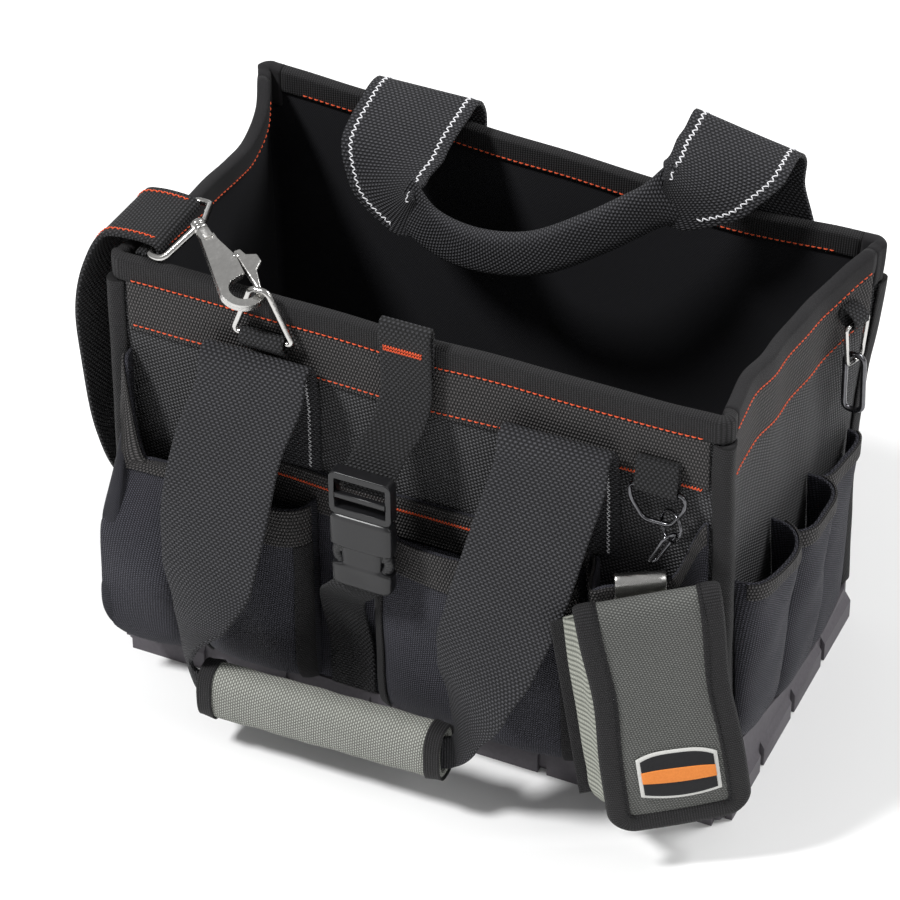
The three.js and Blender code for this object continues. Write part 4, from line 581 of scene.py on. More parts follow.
GREY_CLOTH = woven("grey basket weave", (0.11, 0.113, 0.1), (0.47, 0.48, 0.44), 560, 800, depth=0.5, turn=5)
GREY_FACE = woven(
    "pouch basket weave", (0.045, 0.046, 0.043), (0.19, 0.194, 0.183),
    620, 860, depth=0.5, turn=-20,
)
GUSSET = woven("pouch gusset", (0.1, 0.105, 0.09), (0.38, 0.39, 0.34), 800, 330, rib=0.8, depth=0.4)
PLASTIC = fibrous("black plastic", grey(0.005), (0.011, 0.011, 0.013), 700, 0.03, 0.33, 0.0, 0.4)
MOULDED = fibrous("moulded base", (0.055, 0.05, 0.058), (0.1, 0.092, 0.103), 420, 0.12, 0.6, 0.0, 0.35)
NICKEL = fibrous("nickel", (0.42, 0.415, 0.4), (0.6, 0.59, 0.575), 90, 0.3, 0.18, 0.0, 0.5, 1.0)
HOOK_NICKEL = fibrous(
    "hook plate nickel", (0.42, 0.415, 0.4), (0.62, 0.61, 0.595),
    60, 0.9, 0.27, 0.0, 0.5, 1.0,
)
DARK_NICKEL = fibrous("dark nickel", (0.07, 0.07, 0.075), (0.16, 0.16, 0.17), 260, 0.02, 0.2, 0.0, 0.5, 1.0)
ORANGE = fibrous("orange thread", (0.45, 0.04, 0.008), (0.8, 0.12, 0.035), 1500, 0.08, 0.55, 0.1)
WHITE = fibrous("white thread", (0.5, 0.5, 0.52), (0.85, 0.85, 0.87), 1500, 0.08, 0.6, 0.1)


# Body walls, as in the frame: each side has a share from -1 to 1 and a height share from 0 to 1

BODY_WIDTH = 324
BODY_DEPTH = 176
BODY_HEIGHT = 250
BASE_WIDTH = 330
BASE_DEPTH = 174
WALL = 3
GAP = 0.4
CORNER = 6
BOTTOM = 4.4
TAPE = 1.4
ALONG = vec(-1, -0.75, -0.5, -0.25, 0, 0.25, 0.5, 0.72, 0.88, 1)
HEIGHTS = vec(0, 0.2, 0.45, 0.66, 0.82, 1)
FOLD_AT = vec(-1, -0.6, -0.1, 0.4, 0.7, 1)
FOLDS = {"left": vec(0.1, 0.7, 1, 1, 0.7, 0), "right": vec(0.2, 0.9, 0.8, 0.6, 0.3, 0)}
RIM_AT = vec(-1, -0.5, 0, 0.5, 1)
RIM_SHARES = {
    "front": vec(1, 1, 0.995, 0.995, 1),
    "right": vec(1, 0.985, 0.95, 0.935, 0.97),
    "back": vec(1.02, 1, 0.985, 0.955, 0.97),
    "left": vec(1, 0.975, 0.96, 0.945, 1.02),
}
SIDE_BOW = 8
EAR_REACH = 12
OUTWARD = {"front": vec(0, -1, 0), "right": vec(1, 0, 0), "back": vec(0, 1, 0), "left": vec(-1, 0, 0)}
LENGTH = {"front": BODY_WIDTH, "back": BODY_WIDTH, "left": BODY_DEPTH, "right": BODY_DEPTH}
FINE_S = np.linspace(-1, 1, 161)
FINE_H = np.linspace(0, 1, 81)


def reach_grid(side):
    """Reach of a side wall on a fine grid: it bows in near the rim and flares at the back."""
    s = ALONG[:, None]
    h = HEIGHTS[None, :]
    bow = SIDE_BOW * eased_table(FOLD_AT, FOLDS[side], ALONG)[:, None] * soft((h - 0.2) / 0.8)
    ear = EAR_REACH * soft((s - 0.5) / 0.5) * soft((h - 0.45) / 0.55)
    rough = lerp(BASE_WIDTH, BODY_WIDTH, h) / 2 - bow + ear * (1 if side == "right" else 0.35)
    fine = smooth_table(HEIGHTS, rough.T, FINE_H).T
    return smooth_table(ALONG, fine, FINE_S)


REACH = {side: reach_grid(side) for side in ("left", "right")}
RIM = {
    side: smooth_table(ALONG, BODY_HEIGHT * eased_table(RIM_AT, RIM_SHARES[side], ALONG), FINE_S)
    for side in RIM_SHARES
}


def rim_at(side, s):
    return np.interp(s, FINE_S, RIM[side])


def reach_at(side, s, h):
    a = np.clip((s + 1) / 2, 0, 1) * (len(FINE_S) - 1)
    b = np.clip(h, 0, 1) * (len(FINE_H) - 1)
    i = np.minimum(a.astype(int), len(FINE_S) - 2)
    j = np.minimum(b.astype(int), len(FINE_H) - 2)
    grid = REACH[side]
    low = lerp(grid[i, j], grid[i + 1, j], a - i)
    high = lerp(grid[i, j + 1], grid[i + 1, j + 1], a - i)
    return lerp(low, high, b - j)


def dent(side, s, h):
    """Slight waves of the soft wall: three sines that fade out at the base and the corners."""
    phase = {"front": 0.0, "right": 1.3, "back": 2.1, "left": 4.0}[side]
    wave = np.sin(5.1 * s + 3.0 * h + phase) + 0.7 * np.sin(9.3 * s - 5.2 * h + 2 * phase)
    wave = wave + 0.5 * np.sin(14.0 * s + 8.0 * h + 3 * phase)
    return 0.55 * wave * soft((h - 0.18) / 0.3) * soft((1 - np.abs(s)) / 0.2)


def wall(side, s, z, out=0.0):
    """A point on a wall at a share along it and a height, moved outwards: sides stand at their
    reach, and the front and back run straight between both sides."""
    s, z, out = np.broadcast_arrays(np.asarray(s, float), np.asarray(z, float), np.asarray(out, float))
    h = (z - BOTTOM) / (rim_at(side, s) - BOTTOM)
    depth = lerp(BASE_DEPTH, BODY_DEPTH, h) / 2
    move = out + dent(side, s, h)
    if side in REACH:
        x = (reach_at(side, s, h) + move) * (1 if side == "right" else -1)
        return np.stack([x, s * depth, z], -1)
    end = -1.0 if side == "front" else 1.0
    ends = np.full(s.shape, end)
    x = lerp(-reach_at("left", ends, h), reach_at("right", ends, h), (s + 1) / 2)
    return np.stack([x, end * (depth + move), z], -1)


def share_of(side, length):
    return 2 * np.asarray(length, float) / LENGTH[side]


def on_front(x, z, out):
    return wall("front", share_of("front", x), z, out)


def on_back(x, z, out):
    return wall("back", share_of("back", x), z, out)


def on_right(y, z, out):
    return wall("right", share_of("right", y), z, out)


def on_left(y, z, out):
    return wall("left", share_of("left", y), z, out)


CORNERS = {
    "front_left": ("left", -1.0, "front"),
    "front_right": ("front", 1.0, "right"),
    "back_right": ("right", 1.0, "back"),
    "back_left": ("back", -1.0, "left"),
}


def corner(name, t, z, out=0.0):
    """A point on a rounded corner: t turns it from the first wall to the second, on a circle
    whose centre is a corner radius inside both walls."""
    a, s, b = CORNERS[name]
    t, z, out = np.broadcast_arrays(np.asarray(t, float), np.asarray(z, float), np.asarray(out, float))
    p = wall(a, np.full(z.shape, s), z)
    centre = p - CORNER * (OUTWARD[a] + OUTWARD[b])
    way = np.cos(t)[..., None] * OUTWARD[a] + np.sin(t)[..., None] * OUTWARD[b]
    return centre + way * (CORNER + out)[..., None]


def corner_rim(name):
    a, s, _ = CORNERS[name]
    return float(rim_at(a, s))


def all_round(level, out):
    """A ring round the body: each wall between its corners, and an arc on each corner."""
    blocks = []
    turns = np.linspace(0, math.pi / 2, 8)[1:-1]
    for side, way, name in (
        ("front", 1, "front_right"), ("right", 1, "back_right"),
        ("back", -1, "back_left"), ("left", -1, "front_left"),
    ):
        edge = 1 - 2 * CORNER / LENGTH[side]
        s = np.linspace(-edge, edge, 60 if LENGTH[side] > 200 else 34) * way
        blocks.append(wall(side, s, level(rim_at(side, s)), out))
        blocks.append(corner(name, turns, level(np.full(turns.shape, corner_rim(name))), out))
    return np.concatenate(blocks)


def body_shell():
    """Hollow body: rings up the outside, over the rim and down the inside to the floor."""
    outer = np.linspace(0, 1, 40)
    inner = np.linspace(1, 0, 40)
    rings = [all_round(lambda rim, h=h: lerp(BOTTOM, rim, h), 0.0) for h in outer]
    rings += [
        all_round(lambda rim, h=h: np.maximum(lerp(BOTTOM, rim, h), BOTTOM + WALL), -WALL)
        for h in inner
    ]
    rows = [0] * 40 + [1] * 40
    piece = skin("body_cloth", np.stack(rings), [BALLISTIC, LINING], rows=rows)
    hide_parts("bag_shell")


body_shell()
refined("moulded_base", "base_tray", 0.9, MOULDED)


# Edge tapes: a fold over the rim, and half round tapes up the corners

RIM_LEG = 11
EAR_LEG = 20
RIM_CLEARANCE = 0.9
TURN = 11


def fold_section(leg, thick, full):
    """Section of a tape folded over the wall: a leg up, half an ellipse over the top and a leg
    down, and the same again inside it. Columns are out and up."""
    rise = np.linspace(0, 1, 9)
    turn = np.linspace(0, math.pi, 15)[1:-1]

    def path(x0, x1, top, bulge):
        swell = bulge * np.sin(math.pi * np.clip(rise * 0.75, 0, 1))
        up = np.stack([x0 + swell, -leg * (1 - rise)], -1)
        a = x0 + swell[-1]
        b = x1 - swell[-1]
        over = np.stack([(a + b) / 2 + (a - b) / 2 * np.cos(turn), top * np.sin(turn)], -1)
        down = np.stack([x1 - swell[::-1], -leg * rise], -1)
        return np.concatenate([up, over, down])

    inside = -WALL - GAP
    outer = path(GAP + thick, inside - thick, RIM_CLEARANCE + thick + full, full)
    inner = path(GAP, inside, RIM_CLEARANCE, 0.0)
    return np.concatenate([outer, inner[::-1]])


def along_side(side, s, section):
    rim = rim_at(side, s)[:, None]
    return wall(side, s[:, None], rim + section[None, :, 1], section[None, :, 0])


def along_corner(name, section, count=9):
    t = np.linspace(0, math.pi / 2, count)[1:-1]
    return corner(name, t[:, None], corner_rim(name) + section[None, :, 1], section[None, :, 0])


def rim_piece(name, node, blocks, material):
    piece = skin(name, np.concatenate(blocks), material)
    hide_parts(node)


def end_share(side, length):
    return 1 - 2 * length / LENGTH[side]


def rim_tapes():
    flat = fold_section(RIM_LEG, TAPE, 0.3)
    thick = fold_section(RIM_LEG, TAPE, 0.5)
    side = end_share("right", TURN)
    gap_share = 2 * GAP / BODY_DEPTH
    near = end_share("right", CORNER)
    wide = end_share("front", CORNER)
    front = [
        along_side("left", np.linspace(-side - gap_share, -near, 3), flat),
        along_corner("front_left", flat),
        along_side("front", np.linspace(-wide, wide, 90), flat),
        along_corner("front_right", flat),
        along_side("right", np.linspace(-near, -side - gap_share, 3), flat),
    ]
    rim_piece("front_rim_tape", "rim_binding_front", front, RIBBED_TAPE)
    back = end_share("back", TURN)
    rim_piece("back_rim_tape", "rim_binding_back",
              [along_side("back", np.linspace(-back, back, 90), flat)], RIBBED_TAPE)
    for name in ("left", "right"):
        rim_piece(f"{name}_rim_roll", f"rim_binding_{name}",
                  [along_side(name, np.linspace(-side, side, 60), thick)], FELT)
    ear = fold_section(EAR_LEG, TAPE, 0.4)
    for name, a, b, way in (("back_right", "right", "back", 1), ("back_left", "back", "left", -1)):
        from_a = end_share(a, TURN - GAP)
        from_b = end_share(b, TURN - GAP)
        sign_a = 1 if a == "right" else -1
        blocks = [
            along_side(a, sign_a * np.linspace(from_a, end_share(a, CORNER), 4), ear),
            along_corner(name, ear),
            along_side(b, np.linspace(end_share(b, CORNER), from_b, 4), ear),
        ]
        rim_piece(f"ear_{name}", f"ear_cap_{name[5:]}", blocks, FELT)


rim_tapes()

CORNER_TAPE = 12
TRAY_FRONT_CORNER = 46
TRAY_BACK_CORNER = 24


def corner_tapes():
    """Tape up each corner: a half round section that stands on the corner's diagonal."""
    t = np.linspace(-1, 1, 21)
    half = CORNER_TAPE / 2
    outer = np.stack([half * t, 5.2 - 6.8 * np.abs(t) ** 2.2], -1)
    inner = np.stack([(half - 0.8) * t, 0.8 - 3.1 * np.abs(t) ** 6], -1)
    section = np.concatenate([outer, inner[::-1]])
    for name, (a, s, b) in CORNERS.items():
        front = name.startswith("front")
        low = (TRAY_FRONT_CORNER if front else TRAY_BACK_CORNER) + 2 * GAP
        high = corner_rim(name) - (RIM_LEG if front else EAR_LEG) - 3 * GAP
        z = np.linspace(low, high, 60)
        out = unit(OUTWARD[a] + OUTWARD[b])
        across = vec(-out[1], out[0], 0)
        edge = corner(name, np.full(z.shape, math.pi / 4), z)
        sway = 0.35 * np.sin(z / 17.0 + len(name)) + 0.2 * np.sin(z / 6.1)
        rings = edge[:, None] + across * (section[None, :, 0, None] + sway[:, None, None])
        rings = rings + out * section[None, :, 1, None]
        piece = skin(f"corner_tape_{name}", rings, RIBBED_TAPE)
        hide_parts(f"corner_binding_{name}")


corner_tapes()


# Webbing bands under the rim, the panel and its band

BAND_HEIGHT = 28
BAND_DROP = RIM_LEG + GAP
BAND_THICK = 1.4


def bands():
    for side in ("front", "back", "left", "right"):
        start = end_share(side, EAR_LEG if side == "back" else 9)
        finish = end_share(side, TURN + GAP) if side in REACH else start
        s = np.linspace(-start, finish, 110 if side in ("front", "back") else 60)
        z = rim_at(side, s)[None] - BAND_DROP - BAND_HEIGHT * (1 - np.linspace(0, 1, 10)[:, None])
        p = wall(side, np.broadcast_to(s[None], z.shape), z, GAP + BAND_THICK / 2)
        piece = cloth(f"{side}_band", p, BAND_THICK, BAND_RIB)
        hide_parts(f"band_{side}")


bands()

TRAY_END_HEIGHT = 18
PANEL = (-118, 93)
PANEL_TOP = 153
PANEL_THICK = 1.6
PANEL_BAND = 24
PANEL_OUT = GAP + PANEL_THICK
FRONT_FOOT = TRAY_END_HEIGHT + 2 * GAP


def front_area(x0, x1, z0, z1, out, nu, nv):
    x = np.linspace(x0, x1, nu)[None]
    z = np.linspace(z0, z1, nv)[:, None]
    return on_front(*np.broadcast_arrays(x, z), out)


def panel():
    sheet = cloth("pocket_panel", front_area(*PANEL, FRONT_FOOT, PANEL_TOP, GAP + 0.8, 90, 50),
                  PANEL_THICK, POCKET_NYLON)
    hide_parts("front_panel")
    out = PANEL_OUT + GAP + BAND_THICK / 2
    top = cloth("panel_edge_band", front_area(*PANEL, PANEL_TOP - PANEL_BAND, PANEL_TOP, out, 90, 8),
                BAND_THICK, BAND_RIB)
    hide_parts("panel_band")


panel()


# Pockets: pouches of cloth that swell out of the wall between their sewn edges

POCKET_CLOTH = 2
POCKET_BOTTOM = 19
POCKET_TOP = 146
POCKET_SEAT = PANEL_OUT + BAND_THICK + 2 * GAP + POCKET_CLOTH / 2
END_SEAT = GAP + POCKET_CLOTH / 2
RECESS = (-52, -16)


def swell(t, power=2.6):
    """Rounded rise from 0 to 1 and back: the superellipse of a power."""
    return np.maximum(1 - np.abs(2 * t - 1) ** power, 0) ** (1 / power)


def foot_rise(v, share=0.3):
    return swell(np.minimum(v / share, 1) / 2, 2.4)


def full(depth):
    return lambda u, v: depth * (1 - 0.12 * soft((v - 0.6) / 0.4))


def ridge(u):
    return np.where(u < 0.2, soft(u / 0.2), (1 - u) / 0.8)


def pocket_surface(side, shape):
    """Middle surface of a pocket: its depth times a rounding across it and up from its foot,
    with two shallow creases."""
    def at(u, v):
        u, v = np.broadcast_arrays(np.asarray(u, float), np.asarray(v, float))
        length = lerp(shape["from"], shape["to"], u)
        z = lerp(shape["bottom"](u), shape["top"](u), v)
        depth = shape["depth"](u, v)
        crease = 0.05 * np.sin(7 * u + 9 * v + shape["from"]) + 0.035 * np.sin(15 * v - 6 * u)
        out = shape["seat"] + depth * shape.get("round", swell)(u) * foot_rise(v) * (1 + crease)
        place = wall(side, share_of(side, length), z, out)
        lean = shape.get("lean", 0.0) * swell(v) * np.sin(math.pi * soft(u / 0.9)) * foot_rise(v)
        return place - lean[..., None] * vec(1, 0, 0)
    return at


def trim(name, surface, u, v, lift, material, thick=1.2):
    """Tape on a pocket's surface between two shares each way, lifted off along its normals."""
    nu = 60 if abs(u[1] - u[0]) > 0.4 else 8
    nv = 60 if abs(v[1] - v[0]) > 0.4 else 10
    us = np.linspace(u[0], u[1], nu)[None]
    vs = np.linspace(v[0], v[1], nv)[:, None]
    return cloth(name, surface(us, vs), thick, material, lift=lift)


FRONT_POCKETS = {
    "pocket_end_left": {
        "from": -153, "to": -121, "bottom": lambda u: POCKET_BOTTOM + 0 * u,
        "top": lambda u: POCKET_TOP - 5 + 56 * soft((0.42 - u) / 0.42),
        "depth": lambda u, v: 28 * (1 - 0.55 * soft((v - 0.45) / 0.55)), "seat": END_SEAT, "lean": 22,
    },
    "pocket_left": {
        "from": -114, "to": RECESS[0], "bottom": lambda u: POCKET_BOTTOM + 4 + 0 * u,
        "top": lambda u: POCKET_TOP - 8 + 0 * u, "depth": full(20), "seat": POCKET_SEAT - 0.7,
    },
    "pocket_right": {
        "from": RECESS[1], "to": PANEL[1] - 2, "bottom": lambda u: POCKET_BOTTOM + 1 + 0 * u,
        "top": lambda u: POCKET_TOP - 4 + 0 * u, "depth": full(20), "seat": POCKET_SEAT - 0.7,
    },
    "pocket_end_right": {
        "from": PANEL[1] + 3, "to": 153, "bottom": lambda u: POCKET_BOTTOM + 0 * u,
        "top": lambda u: eased_table([0, 0.3, 0.72, 1], [150, 157, 157, 190], u),
        "depth": full(32), "seat": END_SEAT, "round": ridge,
    },
}
TRAY_SIDE = (vec(-1, -0.5, 0, 0.5, 1), vec(46, 33, 21, 15, 22))
SIDE_POCKETS = {
    "side_pocket_front": (-0.85, -0.27, 146, 1.0),
    "side_pocket_middle": (-0.22, 0.3, 137, 1.0),
    "side_pocket_rear": (0.36, 0.84, 132, 0.5),
}
for key, (start, finish, top_z, deep) in SIDE_POCKETS.items():
    FRONT_POCKETS[key] = {
        "side": "right", "from": start * 88, "to": finish * 88,
        "bottom": lambda u, a=start, b=finish: eased_table(*TRAY_SIDE, lerp(a, b, u)) + 2,
        "top": lambda u, z=top_z: z + 0 * u,
        "depth": lambda u, v, d=deep: 18 * d * (0.3 + 0.7 * v), "seat": END_SEAT,
    }


def pockets():
    for name, shape in FRONT_POCKETS.items():
        side = shape.get("side", "front")
        surface = pocket_surface(side, shape)
        t = np.linspace(0, 1, 64)
        u = ((t + soft(t)) / 2)[None]
        v = (np.linspace(0, 1, 60) ** 1.15)[:, None]
        piece = cloth(f"{name}_cloth", surface(u, v), POCKET_CLOTH, POCKET_NYLON)
        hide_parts(name)
        probe = surface(t, np.ones(64))
        wide = np.linalg.norm(np.diff(probe, axis=0), axis=1).sum()
        tall = float(np.mean(shape["top"](t) - shape["bottom"](t)))
        lift = POCKET_CLOTH / 2 + 0.8
        mouth = 21 if name in ("pocket_left", "pocket_right") else 9
        sign = 1 if np.dot(grid_normals(surface(np.linspace(0.4, 0.6, 5)[None],
                           np.linspace(0.4, 0.6, 5)[:, None]))[2, 2], OUTWARD[side]) > 0 else -1
        trim(f"{name}_mouth", surface, (0.012, 0.988), (1 - mouth / tall, 1.004), sign * lift, BAND_RIB)
        if name in ("pocket_left", "pocket_right", "pocket_end_left"):
            edge = 8 / wide
            for end, pair in (("a", (0.01, edge)), ("b", (1 - edge, 0.99))):
                trim(f"{name}_edge_{end}", surface, pair, (0.02, 1 - (mouth + 1) / tall), sign * lift,
                     RIBBED_TAPE)


pockets()


# Straps

class Ribbon:
    """Band of webbing along a centre curve: rows hold a point, the direction across and a width.
    A place on it is a distance from its middle, a distance along it and a lift off its face."""

    def __init__(self, rows, cuts=24):
        t = np.linspace(0, 1, (len(rows) - 1) * cuts + 1)
        self.centre = catmull([r[0] for r in rows], t)
        self.across = unit(catmull([unit(vec(*r[1])) for r in rows], t))
        widths = np.array([r[2] for r in rows], float)
        self.width = eased_table(np.linspace(0, 1, len(rows)), widths, t)
        ahead = unit(np.gradient(self.centre, axis=0))
        self.normal = unit(np.cross(self.across, ahead))
        run = np.linalg.norm(np.diff(self.centre, axis=0), axis=1)
        self.run = np.concatenate([[0], np.cumsum(run)])
        self.length = self.run[-1]

    def read(self, values, d):
        if values.ndim == 1:
            return np.interp(d, self.run, values)
        return np.stack([np.interp(d, self.run, values[:, k]) for k in range(3)], -1)

    def at(self, a, d, lift=0.0):
        a, d, lift = np.broadcast_arrays(*(np.asarray(x, float) for x in (a, d, lift)))
        place = self.read(self.centre, d) + self.read(self.across, d) * a[..., None]
        return place + self.read(self.normal, d) * lift[..., None]

    def grid(self, columns, pitch=2.6, start=0.0, finish=None):
        finish = self.length if finish is None else finish
        d = np.linspace(start, finish, max(int((finish - start) / pitch), 4))[:, None]
        u = np.linspace(-0.5, 0.5, columns)[None]
        return self.at(u * self.read(self.width, d[:, 0])[:, None], d)

    def line(self, inset, side, start, finish, lift):
        """A line at an inset from one edge, with the normals and the direction across."""
        d = np.linspace(start, finish, 160)
        a = side * (self.read(self.width, d) / 2 - inset)
        facing = unit(self.read(self.normal, d)) * (1 if lift > 0 else -1)
        return self.at(a, d, lift), facing, self.read(self.across, d)


def strap(name, node, rows, thick, material, columns=15):
    ribbon = Ribbon(rows)
    piece = cloth(name, ribbon.grid(columns), thick, material)
    if node:
        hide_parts(node)
    return ribbon


X = (1, 0, 0)
Y = (0, 1, 0)
Z = (0, 0, 1)
WEB = 56
HANDLE_THICK = 2.4
FOLD_Z = float(rim_at("front", 0)) - BAND_DROP - BAND_HEIGHT
ANCHOR_SEAT = GAP + 0.3 + HANDLE_THICK / 2
ANCHOR_FOOT = PANEL_TOP + 2 * GAP
GRIP_MIDDLE = vec(-27, -139, 40)
GRIP_LENGTH = 131.6
GRIP_RISE = 2.5
GRIP_WEB = 17


def grip_end(sign):
    return GRIP_MIDDLE + vec(sign * GRIP_LENGTH / 2, 0, sign * GRIP_RISE)


def front_anchor(x):
    steps = (
        (ANCHOR_FOOT, 0), ((ANCHOR_FOOT + FOLD_Z) / 2, 0), (FOLD_Z - 16, 0), (FOLD_Z - 1, 2.2),
        (FOLD_Z + 9, 3.6), (FOLD_Z + 13, 8), (FOLD_Z + 11, 13), (FOLD_Z - 2, 18),
    )
    return [(on_front(x, z, ANCHOR_SEAT + out), X, WEB) for z, out in steps]


def front_handle():
    left, right = grip_end(-1), grip_end(1)
    left_rows = front_anchor(-78) + [
        (vec(-86, -117, 178), X, WEB), (vec(-91, -126, 140), X, WEB),
        (vec(-93, -133, 106), (1, -0.15, 0), WEB * 0.94),
        (vec(-95, -138, 83), (0.85, -0.4, 0.2), WEB * 0.78),
        (left + vec(-9, 0, 20), (0.45, -0.5, 0.5), GRIP_WEB * 1.6),
        (left + vec(-5, 0, 2), (0, -0.2, 1), GRIP_WEB),
        (left + vec(12, 0, 0), Z, GRIP_WEB + 1.6),
    ]
    right_rows = front_anchor(80) + [
        (vec(75, -118, 182), (1, 0, -0.06), WEB), (vec(68, -128, 146), (1, 0, -0.14), WEB),
        (vec(59, -135, 112), (1, -0.1, -0.2), WEB * 0.94),
        (vec(53, -139, 88), (0.9, -0.3, -0.3), WEB * 0.8),
        (right + vec(10, 0, 21), (0.55, -0.3, -0.6), GRIP_WEB * 1.6),
        (right + vec(4, 0, 2), (0.1, -0.2, -1), GRIP_WEB),
        (right + vec(-12, -2.9, 0), (0, 0, -1), GRIP_WEB + 1.6),
    ]
    for side, rows in (("left", left_rows), ("right", right_rows)):
        ribbon = strap(f"front_handle_{side}_web", f"front_handle_{side}", rows, HANDLE_THICK,
                       HANDLE_WEBBING, columns=25)
        facing = ribbon.read(ribbon.normal, np.array([10.0]))[0]
        out = 1 if facing[1] < 0 else -1
        for edge in (-1, 1):
            line, n, across = ribbon.line(5, edge, 2, 62, out * (HANDLE_THICK / 2 + 0.15))
            zigzag(f"front_handle_{side}_stitch_{'a' if edge < 0 else 'b'}", line, n, across, WHITE,
                   wide=1.7, pitch=1.3, thick=0.45)


front_handle()


def oval(c, s, power=2.6):
    return 1 / (np.abs(c) ** power + np.abs(s) ** power) ** (1 / power)


def front_grip():
    """Padded sleeve: ovals of a superellipse along the grip, fuller in the middle, with a wall."""
    angle = np.arange(56) / 56 * 2 * math.pi
    c, s = np.cos(angle), np.sin(angle)
    round_ = oval(c, s)
    t = np.linspace(0, 1, 60)

    def ring_set(shares, grow, offset):
        fullness = 1 - 0.08 * soft((0.08 - np.minimum(shares, 1 - shares)) / 0.08)
        fullness = fullness + 0.012 * np.sin(shares * 19) + 0.01 * np.sin(shares * 41 + 1)
        place = lerp(grip_end(-1)[None], grip_end(1)[None], shares[:, None])
        tall = (32 * fullness + grow)[:, None] / 2 - offset
        deep = (19 * fullness + grow)[:, None] / 2 - offset
        y = deep * c * round_
        z = tall * s * round_
        return place[:, None] + np.stack([np.zeros_like(y), y, z], -1)

    wall_ = np.concatenate([ring_set(t, 0, 0), ring_set(t[::-1], 0, 3)])
    sleeve = skin("front_grip_sleeve", wall_, GREY_CLOTH, loop=True)
    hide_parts("front_grip")
    for label, first, last in (("left", -0.008, 0.055), ("right", 0.945, 1.008)):
        share = np.linspace(first, last, 10)
        held = np.clip(share, 0.0, 1.0)
        outer = ring_set(held, 2.2, 0)
        outer[:, :, 0] += ((share - held) * GRIP_LENGTH)[:, None]
        inner = ring_set(held[::-1], 0.5, 0)
        inner[:, :, 0] += ((share - held)[::-1] * GRIP_LENGTH)[:, None]
        skin(f"grip_binding_{label}", np.concatenate([outer, inner]), RIBBED_TAPE, loop=True)


front_grip()

BACK_GRIP = [vec(-44, 27, 226), vec(-20, 25, 222), vec(12, 26, 228), vec(42, 34, 244), vec(64, 44, 258)]


BACK_THROAT = ((vec(-63, 33, 236), vec(0.5, -0.2, 0.75)), (vec(82, 54, 268), vec(-0.4, 0, 0.9)))


def back_handle():
    """Rolled webbing: ovals along the grip that flatten and widen into the straps at its ends."""
    ends = (BACK_THROAT[0][0], BACK_THROAT[1][0])
    t = np.linspace(0, 1, 90)
    curve = catmull([ends[0], *BACK_GRIP, ends[1]], t)
    ahead = unit(np.gradient(curve, axis=0))
    angle = (np.arange(40) + 0.5) / 40 * 2 * math.pi
    keys = np.linspace(0, 1, 7)
    ups = [unit(BACK_THROAT[0][1]), *[vec(0, 0, 1)] * 5, unit(BACK_THROAT[1][1])]
    ups = np.array(ups)
    up = np.stack([eased_table(keys, ups[:, k], t) for k in range(3)], -1)
    up = unit(up - ahead * np.einsum("ij,ij->i", up, ahead)[:, None])
    out = np.cross(ahead, up)
    tall = eased_table(keys, [17.5, 12.4, 12, 12, 12, 12.4, 17.5], t)
    deep = eased_table(keys, [2.0, 5.0, 6.5, 6.5, 6.5, 5.0, 2.0], t)
    round_ = oval(np.cos(angle), np.sin(angle))
    y = deep[:, None] * (np.cos(angle) * round_)[None]
    z = tall[:, None] * (np.sin(angle) * round_)[None]
    rings = curve[:, None] + out[:, None] * y[..., None] + up[:, None] * z[..., None]
    roll = skin("back_grip_roll", rings, HANDLE_WEBBING)
    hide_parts("back_grip")
    low = rings[:, int(40 * 0.70)] + vec(0, -0.2, 0)
    lower_side = unit(rings[:, int(40 * 0.70)] - curve)
    zigzag("back_grip_stitch", low + lower_side * 0.2, lower_side, up, WHITE)
    seat = GAP + BAND_THICK + GAP + HANDLE_THICK / 2

    def anchor(x):
        rim = float(rim_at("back", share_of("back", x)))
        rows = [(on_back(x, z, seat), X, WEB) for z in (120, 155, 195)]
        return rows + [(on_back(x, rim - 8, seat + 1), X, WEB)], rim

    left, rim = anchor(-72)
    left += [
        (vec(-72, 93, rim + 6), X, WEB), (vec(-72, 85, rim + 16), X, WEB),
        (vec(-73, 68, rim + 13), X, WEB), (vec(-75, 50, 252), (1, 0, 0.05), WEB),
        (vec(-72, 37, 239), (0.9, -0.1, 0.35), WEB * 0.85),
        (vec(-61, 29, 229), (0.45, -0.2, 0.8), WEB * 0.6),
        (BACK_GRIP[0] - ahead[0] * 4, Z, 16),
    ]
    right, rim = anchor(99)
    right += [
        (vec(99, 96, rim + 18), X, WEB), (vec(99, 97, rim + 35), (1, 0, -0.1), WEB),
        (vec(99, 88, rim + 46), (1, 0, -0.22), WEB), (vec(98, 72, 281), (1, 0, -0.22), WEB),
        (vec(91, 58, 271), (0.85, 0.1, -0.45), WEB * 0.85),
        (vec(78, 49, 263), (0.35, 0.1, -0.85), WEB * 0.6),
        (BACK_GRIP[-1] + ahead[-1] * 6, (-0.2, 0, -1), 16),
    ]
    for side, rows in (("left", left), ("right", right)):
        ribbon = strap(f"back_handle_{side}_web", f"back_handle_{side}", rows, HANDLE_THICK,
                       HANDLE_WEBBING, columns=25)
        out_way = 1 if ribbon.read(ribbon.normal, np.array([10.0]))[0][1] > 0 else -1
        for edge in (-1, 1):
            lift = out_way * (HANDLE_THICK / 2 + 0.15)
            line, n, across = ribbon.line(5, edge, 2, ribbon.length - 14, lift)
            zigzag(f"back_handle_{side}_stitch_{'a' if edge < 0 else 'b'}", line, n, across, WHITE)


back_handle()

CLOSURE_THICK = 1.8
BUCKLE = vec(-12, -121, 0)


